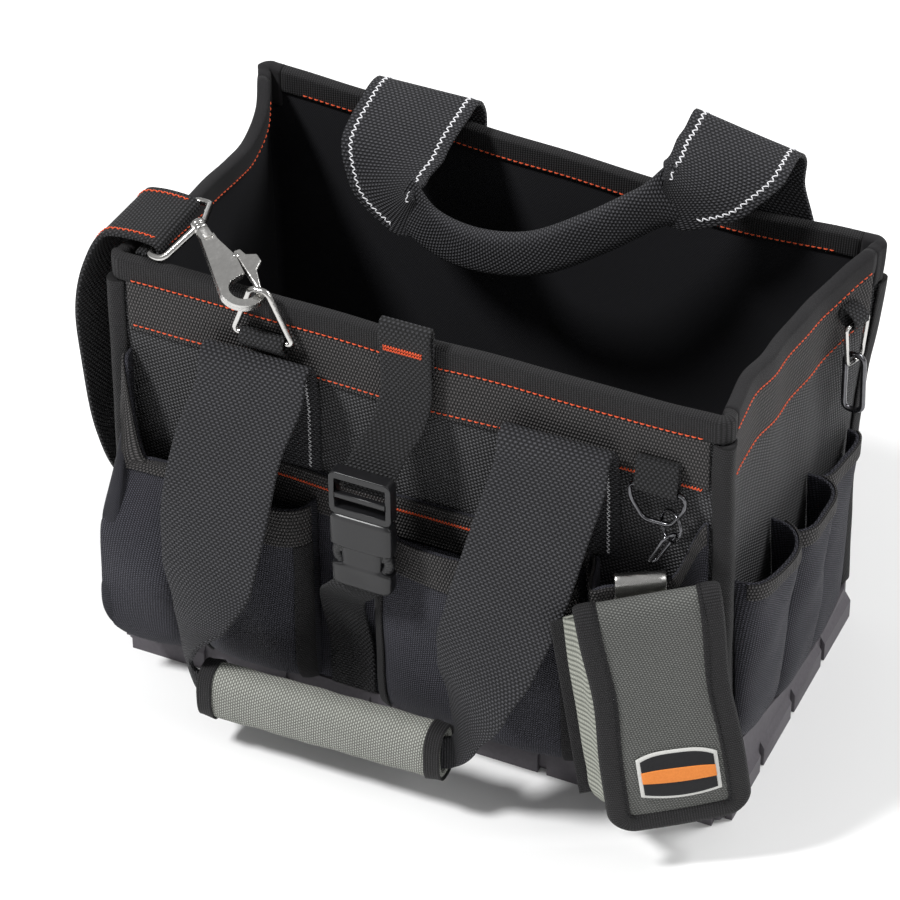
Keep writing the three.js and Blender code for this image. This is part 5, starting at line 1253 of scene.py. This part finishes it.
def buckle_shell():
    """Buckle body: rounded rectangles up its height, narrower where the two side presses show,
    fuller in the middle of its face; the presses are ridged bars within the notches."""
    z = np.concatenate([[119.2, 119.8, 120.8], np.linspace(122, 160, 58), [161, 161.7, 162]])
    edge = np.minimum(z - 119.2, 162 - z)
    round_end = 1 - 0.10 * soft((2.0 - edge) / 2.0)
    notch = soft((np.abs(z - 137.5) - 5.0) / 1.6)
    half_wide = (16.5 - 5.6 * (1 - notch) - 0.8 * soft((150 - z) / 30)) * round_end
    half_deep = (4.5 - 0.5 * (1 - notch)) * round_end
    angle = (np.arange(48) + 0.5) / 48 * 2 * math.pi
    shape = oval(np.cos(angle), np.sin(angle), 7)
    x = BUCKLE[0] + half_wide[:, None] * (np.cos(angle) * shape)[None]
    y = BUCKLE[1] + half_deep[:, None] * (np.sin(angle) * shape)[None]
    dish = 0.7 * np.exp(-(((x - BUCKLE[0]) / 8) ** 2)) * np.exp(-(((z[:, None] - 126) / 5) ** 2))
    y = y + dish * (np.sin(angle)[None] < 0)
    rings = np.stack([x, y, np.broadcast_to(z[:, None], x.shape)], -1)
    piece = skin("buckle_shell", rings, PLASTIC)
    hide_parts("buckle_body")
    for name, way in (("left", -1), ("right", 1)):
        h = np.linspace(131.5, 143.5, 40)
        bulge = np.sin(math.pi * (h - 131.5) / 12)
        path = np.stack([BUCKLE[0] + way * (11.2 + 2.6 * bulge), np.full(40, BUCKLE[1]), h], -1)
        ridge_ = 5.6 + 0.5 * np.abs(np.sin(h * 2.1))
        tube(f"buckle_press_{name}", path, ridge_, PLASTIC, up=Y)


def closure():
    seat = GAP + TAPE + GAP + CLOSURE_THICK / 2
    layer = CLOSURE_THICK + GAP
    upper = [(on_front(0, z, seat + out), X, 26) for z, out in (
        (236, 0), (250, 0), (260, 0), (263, layer), (258, 2 * layer), (245, 1.6 * layer),
        (220, 1.6 * layer),
    )]
    upper += [
        (on_front(-2, 206, seat + 10), X, 26), (vec(-7, -108, 196), X, 26),
        (vec(-11, -114, 183), X, 26), (vec(-12, -114.5, 172), X, 26),
    ]
    ribbon = strap("closure_web_upper", "closure_strap_upper", upper, CLOSURE_THICK, WEBBING)
    facing = ribbon.read(ribbon.normal, np.array([ribbon.length * 0.55]))[0]
    way = 1 if facing[1] < 0 else -1
    for row, where in enumerate((0.34, 0.355)):
        a = np.linspace(-11, 9, 60)
        d = np.full(a.shape, ribbon.length * where)
        line = ribbon.at(a, d, way * (CLOSURE_THICK / 2 + 0.1))
        n = ribbon.read(ribbon.normal, d) * way
        ahead = np.cross(n, ribbon.read(ribbon.across, d))
        zigzag(f"closure_bar_tack_{row}", line, n, ahead, ORANGE, wide=1.8, pitch=0.7, thick=0.6)
    x = sum(RECESS) / 2
    seat = PANEL_OUT + GAP + CLOSURE_THICK / 2
    lower = [
        (on_front(x, FRONT_FOOT, seat), X, 24), (on_front(x, FRONT_FOOT + 30, seat + 1), X, 24),
        (vec(-33, -104, 89), X, 24), (vec(-22, -118, 109), X, 25), (vec(-14, -121, 118.4), X, 26),
    ]
    strap("closure_web_lower", "closure_strap_lower", lower, CLOSURE_THICK, WEBBING)
    buckle_shell()
    refined("buckle_catch", "buckle_tongue", 0.9, PLASTIC)


closure()

# Metal rings and the webbing tabs that hold them

RING_WIRE = 3.2
TAB_SEAT = GAP + BAND_THICK + GAP + TAPE / 2


def hang(name, node, place, corners, radius, wire, material, up):
    path = rounded_loop([place(a, z, out) for a, z, out in corners], radius, 72)
    piece = tube(name, path, wire, material, closed=True, up=up)
    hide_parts(node)


def tab(name, node, place, at, z, out, width, wire, drop, way):
    """Folded tab: up from the wall, round the bar of a ring and back down to the wall."""
    seat = TAB_SEAT + 0.3
    ends = unit(place(at + width / 2, z, 0.0) - place(at - width / 2, z, 0.0))
    r = wire / 2 + 2 * GAP + TAPE / 2
    steps = (
        (z - way * drop, seat), (z - way * r * 0.8, seat), (z + way * r * 0.2, out - r),
        (z + way * r, out), (z, out + r), (z - way * r * 1.4, out + r * 0.7),
        (z - way * drop, seat + TAPE + GAP),
    )
    rows = [(place(at, height, reach), ends, width) for height, reach in steps]
    strap(name, node, rows, TAPE, WEBBING, columns=7)


def front_plumb(x, z, out):
    p = on_front(x, min(z, BODY_HEIGHT - RIM_LEG), out)
    return vec(x, p[1], z)


def back_plumb(x, z, out):
    return vec(x, BODY_DEPTH / 2 + out, z)


def side_plumb(y, z, out):
    return vec(on_right(y, 213, out)[0], y, z)


def tape_plumb(y, z, out):
    return vec(on_left(y, 208, out)[0], y, z)


def rings():
    out = GAP + BAND_THICK + TAPE + 2 * GAP + RING_WIRE / 2 + 1
    hang("hook_triangle", "triangle_ring", front_plumb,
         [(-92, 232, out), (-60, 232, out), (-72.5, 260, out), (-81.5, 260, out)],
         3, RING_WIRE, NICKEL, Y)
    tab("hook_triangle_tab", "ring_tab", on_front, -76, 232, out, 23, RING_WIRE, 9, 1)
    tab("d_ring_web", "d_ring_tab", on_front, 129, 206, 6, 21, 2.4, 16, -1)
    hang("d_ring_wire", "d_ring", on_front, [
        (115, 206, 6), (143, 206, 6), (143, 198, 6), (136, 186, 6), (122, 186, 6), (115, 198, 6),
    ], 3.4, 2.4, DARK_NICKEL, Y)
    centre = vec(137, on_front(129, 206, 9)[1], 189)
    across = unit(vec(0.75, -0.6, 0.25))
    angle = np.linspace(0, 4 * math.pi, 140)
    spread = np.linspace(-0.5, 0.5, 140)[:, None] * np.cross(across, Z)
    coil = centre + 9 * (np.cos(angle)[:, None] * across + np.sin(angle)[:, None] * np.array(Z))
    split = tube("key_ring", coil + spread, 1.1, DARK_NICKEL, up=np.cross(across, Z))
    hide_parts("split_ring")
    turn = unit(vec(0.6, 0.75, 0))
    top = centre - vec(0, 0, 6)
    foot = top + vec(-8, -2, -17)
    path = rounded_loop([top - turn * 3.4, top + turn * 3.4, foot + turn * 2.4, foot - turn * 2.4], 2.4, 60)
    link = tube("key_link", path, 2, DARK_NICKEL, closed=True, up=np.cross(turn, (8, 2, 17)))
    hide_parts("ring_link")
    hang("rear_snap", "rear_hook", back_plumb,
         [(109, 194, 19.4), (135, 168, 19.4), (143, 193, 12), (139, 199, 12)],
         5, 3.6, NICKEL, Y)
    hang("rear_triangle", "rear_ring", back_plumb,
         [(133, 214, 6.6), (156, 214, 6.6), (139, 191, 8.7), (131, 191, 8.7)],
         2.5, RING_WIRE, NICKEL, Y)
    tab("rear_web", "rear_tab", on_back, 144.5, 214, 7, 12, RING_WIRE, 14, -1)
    tab("side_web", "side_tab", on_right, 58, 213, 8.5, 10, 2.4, 9, -1)
    hang("side_link", "side_ring", side_plumb,
         [(50, 213, 8.5), (66, 213, 8.5), (63, 189, 8.5), (53, 189, 8.5)], 2.4, 2.4, NICKEL, X)
    hang("side_snap", "side_clip", lambda a, z, o: side_plumb(58, z, o),
         [(0, 192.6, 4), (0, 192.6, 13.5), (0, 158.6, 14.5), (0, 158.6, 4.5)],
         4.5, 3, DARK_NICKEL, Y)
    tab("tape_web", "tape_tab", on_left, -32, 208, 9.5, 14, 2.4, 14, -1)
    hang("tape_link", "tape_ring", tape_plumb,
         [(-45, 208, 9.5), (-19, 208, 9.5), (-19, 190, 9.5), (-45, 190, 9.5)], 3, 2.4, NICKEL, X)
    steps = (
        (172, 7.1), (184, 6.9), (190, 6.5), (193, 9.5), (190, 12.5), (160, 14), (128, 13.5),
        (120, 10.5), (128, 7.3), (166, 7.1),
    )
    rows = [(tape_plumb(-32, z, o), Y, 20) for z, o in steps]
    strap("tape_strap_web", "tape_strap", rows, TAPE, WEBBING, columns=9)


rings()


# Snap hook and the square loop of the shoulder strap

HOOK_START = vec(-115, -75, 266.5)
HOOK_WAY = unit(vec(0.798, -0.546, -0.252))
HOOK_SIDE = unit(vec(0.565, 0.825, 0))
HOOK_TOP = np.cross(HOOK_WAY, HOOK_SIDE)
LOOP_BAR = vec(-143, -59, 254)
LOOP_WIRE = 3.6


def hook_place(x, y, z=0.0):
    return HOOK_START + HOOK_WAY * x + HOOK_SIDE * y + HOOK_TOP * z


def turned(name, start, axis, profile, material, body=BODY):
    """Turned piece: rows of a distance along an axis and a diameter."""
    profile = np.asarray(profile, float)
    path = start + unit(axis) * profile[:, :1]
    up = HOOK_TOP + vec(0.1, 0, 0)
    return tube(name, path, profile[:, 1], material, sides=24, up=up, body=body)


def snap_hook():
    refined("snap_hook", "hook_body", 1.3, HOOK_NICKEL)
    refined("snap_gate", "hook_gate", 0.7, HOOK_NICKEL, body="gate")
    turned("gate_rivet", hook_place(17, 6.6, 1.7), HOOK_TOP,
           [(0, 3.2), (0.5, 3.2), (0.8, 2.6), (0.9, 0.4)], NICKEL)
    neck = HOOK_START - HOOK_WAY * 7.4
    half = 25
    corners = [
        LOOP_BAR - vec(0, half, 0), LOOP_BAR + vec(0, half, 0), LOOP_BAR + vec(9, half - 1, 1),
        neck + HOOK_SIDE * 1.5, neck - HOOK_SIDE * 1.5, LOOP_BAR + vec(9, -half - 2, 1),
    ]
    path = rounded_loop(corners, 4, 140)
    loop = tube("strap_loop_wire", path, LOOP_WIRE, NICKEL, closed=True, up=HOOK_TOP)
    collar = turned("swivel_collar", HOOK_START, -HOOK_WAY, [
        (4.4, 2), (4.4, 6.6), (4.9, 7.5), (6.4, 7.5), (6.8, 6.2), (7.4, 6.2), (7.8, 7.5),
        (9.8, 7.5), (10.3, 6.8), (10.4, 2),
    ], NICKEL)
    collar.parent = loop
    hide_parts("strap_loop")


snap_hook()

SHOULDER_THICK = 2.4


def shoulder():
    reach = LOOP_WIRE / 2 + 2 * GAP + SHOULDER_THICK / 2

    def bar(degrees):
        angle = math.radians(degrees)
        return LOOP_BAR + vec(math.cos(angle) * reach, 0, math.sin(angle) * reach)

    wide = 42
    rows = [(LOOP_BAR + vec(-8, 0, -reach), Y, wide)]
    rows += [(bar(angle), Y, wide) for angle in (-90, -40, 0, 40, 90)]
    rows += [
        (LOOP_BAR + vec(-17, 0, reach), Y, wide),
        (LOOP_BAR + vec(-26, 0, reach - 3), (0.05, 1, 0), wide),
        (vec(-176, -63, 236), (0.16, 1, 0), wide), (vec(-178, -67, 212), (0.25, 1, 0), wide),
        (vec(-178, -66, 176), (0.2, 1, 0.08), wide), (vec(-180, -60, 136), (0.05, 1, 0.25), wide),
        (vec(-181, -42, 98), (0, 0.85, 0.5), wide), (vec(-181, -4, 72), (0, 0.5, 0.86), wide),
        (vec(-181, 50, 64), (0, 0.1, 1), wide), (vec(-174, 92, 64), (0.05, 0.05, 1), wide),
        (vec(-140, 104, 64), Z, wide), (vec(-60, 103, 76), (-0.25, 0, 0.97), wide),
        (vec(20, 103, 102), (-0.45, 0, 0.9), wide), (vec(84, 103, 140), (-0.6, 0, 0.8), wide),
        (vec(120, 103, 176), (-0.8, 0, 0.6), wide),
    ]
    ribbon = strap("shoulder_web", "shoulder_strap", rows, SHOULDER_THICK, WEBBING, columns=19)
    start = 8 + reach * math.pi + 6
    facing = ribbon.read(ribbon.normal, np.array([start + 5]))[0]
    way = 1 if facing[2] > 0 else -1
    for edge in (-1, 1):
        line, n, across = ribbon.line(3.5, edge, start - 6, start + 38, way * (SHOULDER_THICK / 2 + 0.1))
        zigzag(f"shoulder_stitch_{'a' if edge < 0 else 'b'}", line, n, across, ORANGE, wide=1.3, pitch=1.5)


shoulder()


# Pouch on its belt clip

YAW = math.radians(30)
ROLL = math.radians(8)
LEAN = math.radians(-2)
CLIP_AT = vec(126, -106.6, 160)
W0 = vec(math.cos(YAW), math.sin(YAW), 0)
N0 = vec(math.sin(YAW), -math.cos(YAW), 0)
W = W0 * math.cos(ROLL) + vec(0, 0, math.sin(ROLL))
N = N0 * math.cos(LEAN) + np.cross(W, N0) * math.sin(LEAN) + W * (W @ N0) * (1 - math.cos(LEAN))
U = np.cross(N, W)
POUCH_TOP = CLIP_AT + 1.5 * W0 - vec(0, 0, 2)
POUCH_HEIGHT = 123
POUCH_BACK = 7
LEVELS = vec(0.05, 0.25, 0.5, 0.8, 0.96, 1)
THICKS = vec(9, 14, 18, 21, 20, 16)
WIDES = vec(0.97, 1, 1, 1, 0.96, 0.88)


def pouch_point(w, n, down):
    return POUCH_TOP + np.multiply.outer(w, W) + np.multiply.outer(n, N) - np.multiply.outer(down, U)


def pouch():
    angle = (np.arange(64) + 0.5) / 64 * 2 * math.pi
    c, s = np.cos(angle), np.sin(angle)
    box = oval(c, s, 6)

    def ring_at(down, inset):
        thick = smooth_table(LEVELS, THICKS, np.array([down]))[0]
        wide = smooth_table(LEVELS, WIDES, np.array([down]))[0]
        n = (s * box + 1) / 2
        half = lerp(35.5, 31, n) * wide - inset
        w = half * c * box
        w = w - 8.5 * (1 - n) ** 0.7 * soft(-c / 0.8)
        pinch = 1 - 0.05 * np.sin(math.pi * n) * np.abs(c) ** 4
        low = down * POUCH_HEIGHT - (inset if down > 0.95 else 0)
        depth = POUCH_BACK + inset + n * (thick - 2 * inset)
        return pouch_point(w * pinch, depth, np.full(w.shape, low))

    downs = np.concatenate([np.linspace(0.05, 0.94, 36), np.linspace(0.95, 1, 8)])
    rows = [ring_at(d, 0.0) for d in downs[::-1]] + [ring_at(d, 2.0) for d in downs]
    pocket = skin("pouch_pocket", np.stack(rows), GUSSET)
    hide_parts("pouch_body")
    thick = 2.4
    gap = GAP + 1.5
    flap_rows = [
        (5.15, POUCH_BACK + 1.5), (1, POUCH_BACK + 2.5), (0, POUCH_BACK + 7), (3.5, POUCH_BACK + 10.5),
        (30.75, POUCH_BACK + 14 + gap), (61.5, POUCH_BACK + 18 + gap), (98.4, POUCH_BACK + 21 + gap),
        (118, POUCH_BACK + 20 + gap), (128, POUCH_BACK + 20 + gap),
    ]
    rows = [(pouch_point(0.0, float(n), float(d)), W, 69) for d, n in flap_rows]
    flap = Ribbon(rows)
    total = flap.length
    radius = 13
    edge = 34.5
    rounding = total - radius * (1 - np.linspace(0, 1, 16)[1:] ** 0.6)
    d = np.concatenate([np.linspace(0, total - radius, 80), rounding])
    into = np.clip(d - (total - radius), 0, radius)
    half = edge - radius + np.sqrt(np.maximum(radius**2 - into**2, 0))
    waist = 1 - 0.07 * np.exp(-(((d - 0.42 * total) / 26) ** 2))
    half = half * waist
    half[-1] = max(half[-1], edge - radius)
    u = np.linspace(-1, 1, 33)[None]
    out_way = 1 if flap.read(flap.normal, np.array([total * 0.6]))[0] @ N > 0 else -1
    crown = 1.4 * (1 - u**2) * soft((d[:, None] - 30) / 60)
    middle = flap.at(u * (half[:, None] - 0.6), d[:, None], out_way * crown)
    face = cloth("pouch_flap_cloth", middle, thick, GREY_FACE)
    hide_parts("pouch_flap")

    def binding(inset):
        """Flat outline of the flap, drawn in by an inset: down one edge, round and up the other."""
        inner = max(radius - inset, 2.0)
        down_ = np.linspace(4, total - radius, 70)
        turn = np.linspace(0, math.pi / 2, 14)[1:]
        waist_ = 1 - 0.07 * np.exp(-(((down_ - 0.42 * total) / 26) ** 2))
        left = np.stack([-(edge * waist_ - inset), down_], -1)
        arc = np.stack([-(edge - radius) - inner * np.cos(turn), total - radius + inner * np.sin(turn)], -1)
        if inset > radius:
            arc[:, 1] = np.minimum(arc[:, 1], total - inset)
        foot = np.linspace(-(edge - radius), edge - radius, 24)[1:-1]
        floor_ = np.stack([foot, np.full(22, total - inset)], -1)
        other = arc[::-1] * vec(-1, 1)
        right = left[::-1] * vec(-1, 1)
        return np.concatenate([left, arc, floor_, other, right])

    lift = thick / 2 + 0.75
    columns = (
        (10.5, lift - 0.5), (10.0, lift), (6.0, lift + 0.35), (2.0, lift + 0.1), (0.2, lift - 0.5),
        (-0.9, 0.0), (0.2, -lift + 0.5), (4.0, -lift), (4.0, -lift + 0.7), (1.0, -thick / 2 - 0.1),
        (0.3, 0.0), (1.0, thick / 2 + 0.1), (6.0, thick / 2 + 0.15), (10.5, thick / 2 + 0.1),
    )
    loops = []
    for inset, off in columns:
        flat = binding(inset)
        fall = 1.4 * (1 - (np.abs(flat[:, 0]) / edge) ** 2) * soft((flat[:, 1] - 30) / 60)
        loops.append(flap.at(flat[:, 0], flat[:, 1], out_way * (off + fall)))
    skin("pouch_flap_binding", np.stack(loops, 1), RIBBED_TAPE)
    down_line = binding(9.0)
    line = flap.at(down_line[:, 0], down_line[:, 1], out_way * (lift + 0.9))
    n = flap.read(flap.normal, down_line[:, 1]) * out_way
    seam("pouch_flap_stitch", line, n, LINING, pitch=2.4, thick=0.5)
    back = pouch_back_panel()
    back.parent = pocket
    clip_rows = [
        (-3, -14), (-3, 0), (-2.1, 2.1), (0, 3), (2.1, 2.1), (3, 0), (3.6, -6), (6.6, -24),
    ]
    rows = [(CLIP_AT + N0 * a + vec(0, 0, z), W0, 24) for a, z in clip_rows]
    strap("belt_clip", "pouch_clip", rows, 1.2, HOOK_NICKEL, columns=9)
    patch(flap, out_way, total, thick)


def pouch_back_panel():
    """Bound edge of the pouch's back: a tape along one long side of its rear face."""
    d = np.linspace(8, 118, 50)
    a = np.linspace(-46.5, -37.5, 8)
    w, down = np.meshgrid(a, d)
    p = pouch_point(w, np.full(w.shape, POUCH_BACK + 0.6), down)
    return cloth("pouch_back_binding", p, 1.2, RIBBED_TAPE)


def patch(flap, way, total, thick):
    """Plain sewn patch: a shield of three colours, without letters."""
    middle = (2.0, total - 34)
    across = np.linspace(-1, 1, 25)
    steps = (("rim", 19.5, 14.5, 0.0, PATCH_RIM), ("field", 17.6, 12.8, 0.35, PATCH_DARK),
             ("stripe", 17.8, 4.0, 0.6, PATCH_ORANGE))
    for name, w, h, up, material in steps:
        a = across[None] * w
        top = h * (1 - 0.28 * np.abs(across[None]) ** 3)
        low = -h * (1 - 0.18 * np.abs(across[None]) ** 2)
        t = np.linspace(0, 1, 17)[:, None]
        d = middle[1] - lerp(low, top, t) + 0.06 * a
        crown = 1.4 * (1 - ((a + middle[0]) / 34.5) ** 2) * np.ones_like(d)
        a = np.broadcast_to(a + middle[0], d.shape)
        p = flap.at(a, d, way * (thick / 2 + 0.55 + up + crown))
        cloth(f"pouch_patch_{name}", p, 0.8, material)


PATCH_RIM = fibrous("patch rim", (0.45, 0.45, 0.43), (0.62, 0.62, 0.6), 900, 0.1)
PATCH_DARK = fibrous("patch field", (0.008, 0.008, 0.009), (0.02, 0.02, 0.022), 900, 0.1)
PATCH_ORANGE = fibrous("patch stripe", (0.6, 0.17, 0.03), (0.8, 0.27, 0.06), 900, 0.1)
pouch()


# Stitches on the body

def wall_seam(name, side, s0, s1, drop, out, material=ORANGE, **kind):
    s = np.linspace(s0, s1, 240)
    line = wall(side, s, rim_at(side, s) - drop, out)
    inward = -1 if out < 0 else 1
    n = np.broadcast_to(OUTWARD[side] * inward, line.shape)
    seam(name, line, n, material, **kind)


def body_stitches():
    tape_face = GAP + TAPE + 0.35
    wall_seam("front_rim_stitch", "front", -0.93, 0.93, RIM_LEG - 1.2, tape_face)
    band_face = GAP + BAND_THICK + 0.15
    wall_seam("front_band_stitch", "front", -0.93, 0.42, BAND_DROP + BAND_HEIGHT - 2.6, band_face)
    for side in ("left", "right", "back"):
        wall_seam(f"{side}_band_stitch", side, -0.86, 0.82, BAND_DROP + BAND_HEIGHT - 2.6,
                  GAP + BAND_THICK + 0.15)
        inside = -WALL - GAP - TAPE - 0.25
        wall_seam(f"{side}_rim_stitch_inner", side, -0.86, 0.86, RIM_LEG - 1.6, inside)
        wall_seam(f"{side}_rim_stitch_outer", side, -0.86, 0.86, RIM_LEG - 1.6, -inside - WALL)
    wall_seam("front_rim_stitch_inner", "front", -0.93, 0.93, RIM_LEG - 1.6, -WALL - GAP - TAPE - 0.2)
    x = np.linspace(-114, 90, 260)
    line = on_front(x, np.full(x.shape, 146.0), PANEL_OUT + GAP + BAND_THICK + 0.15)
    n = np.broadcast_to(OUTWARD["front"], line.shape)
    up = np.broadcast_to(np.array(Z, float), line.shape)
    zigzag("panel_satin_stitch", line, n, up, ORANGE, wide=1.6, pitch=0.8, thick=0.6)
    x = np.linspace(98, 150, 120)
    line = on_front(x, np.full(x.shape, 209.5), GAP + BAND_THICK + 0.4)
    n = np.broadcast_to(OUTWARD["front"], line.shape)
    up = np.broadcast_to(np.array(Z, float), line.shape)
    zigzag("band_satin_stitch", line, n, up, ORANGE, wide=1.7, pitch=0.8, thick=0.6)


body_stitches()


# Floor and light

def stage():
    mesh = bpy.data.meshes.new("floor")
    far = 14.0
    mesh.from_pydata([(-far, -far, 0), (far, -far, 0), (far, far, 0), (-far, far, 0)], [], [(0, 1, 2, 3)])
    floor = bpy.data.objects.new("floor", mesh)
    bpy.context.scene.collection.objects.link(floor)
    material, tree, shader = base_material("pale floor", 0.9, specular=0.1)
    shader.inputs["Base Color"].default_value = (0.86, 0.86, 0.86, 1)
    mesh.materials.append(material)
    world = bpy.context.scene.world or bpy.data.worlds.new("studio")
    bpy.context.scene.world = world
    world.use_nodes = True
    sky = world.node_tree.nodes.get("Background")
    sky.inputs["Color"].default_value = (1, 1, 1, 1)
    sky.inputs["Strength"].default_value = 0.42
    lamps = (
        ("key", (-1.2, -1.3, 2.4), 0.5, 88),
        ("fill", (2.0, -0.6, 1.6), 1.2, 9),
        ("top", (1.3, 1.0, 2.2), 1.0, 46),
    )
    for name, place, size, power in lamps:
        data = bpy.data.lights.new(name, "AREA")
        data.shape = "DISK"
        data.size = size
        data.energy = power
        lamp = bpy.data.objects.new(name, data)
        lamp.location = place
        lamp.rotation_euler = (Vector(place) - Vector((0, 0, 0.1))).to_track_quat("Z", "Y").to_euler()
        bpy.context.scene.collection.objects.link(lamp)
    bpy.context.scene.view_settings.view_transform = "Standard"


stage()
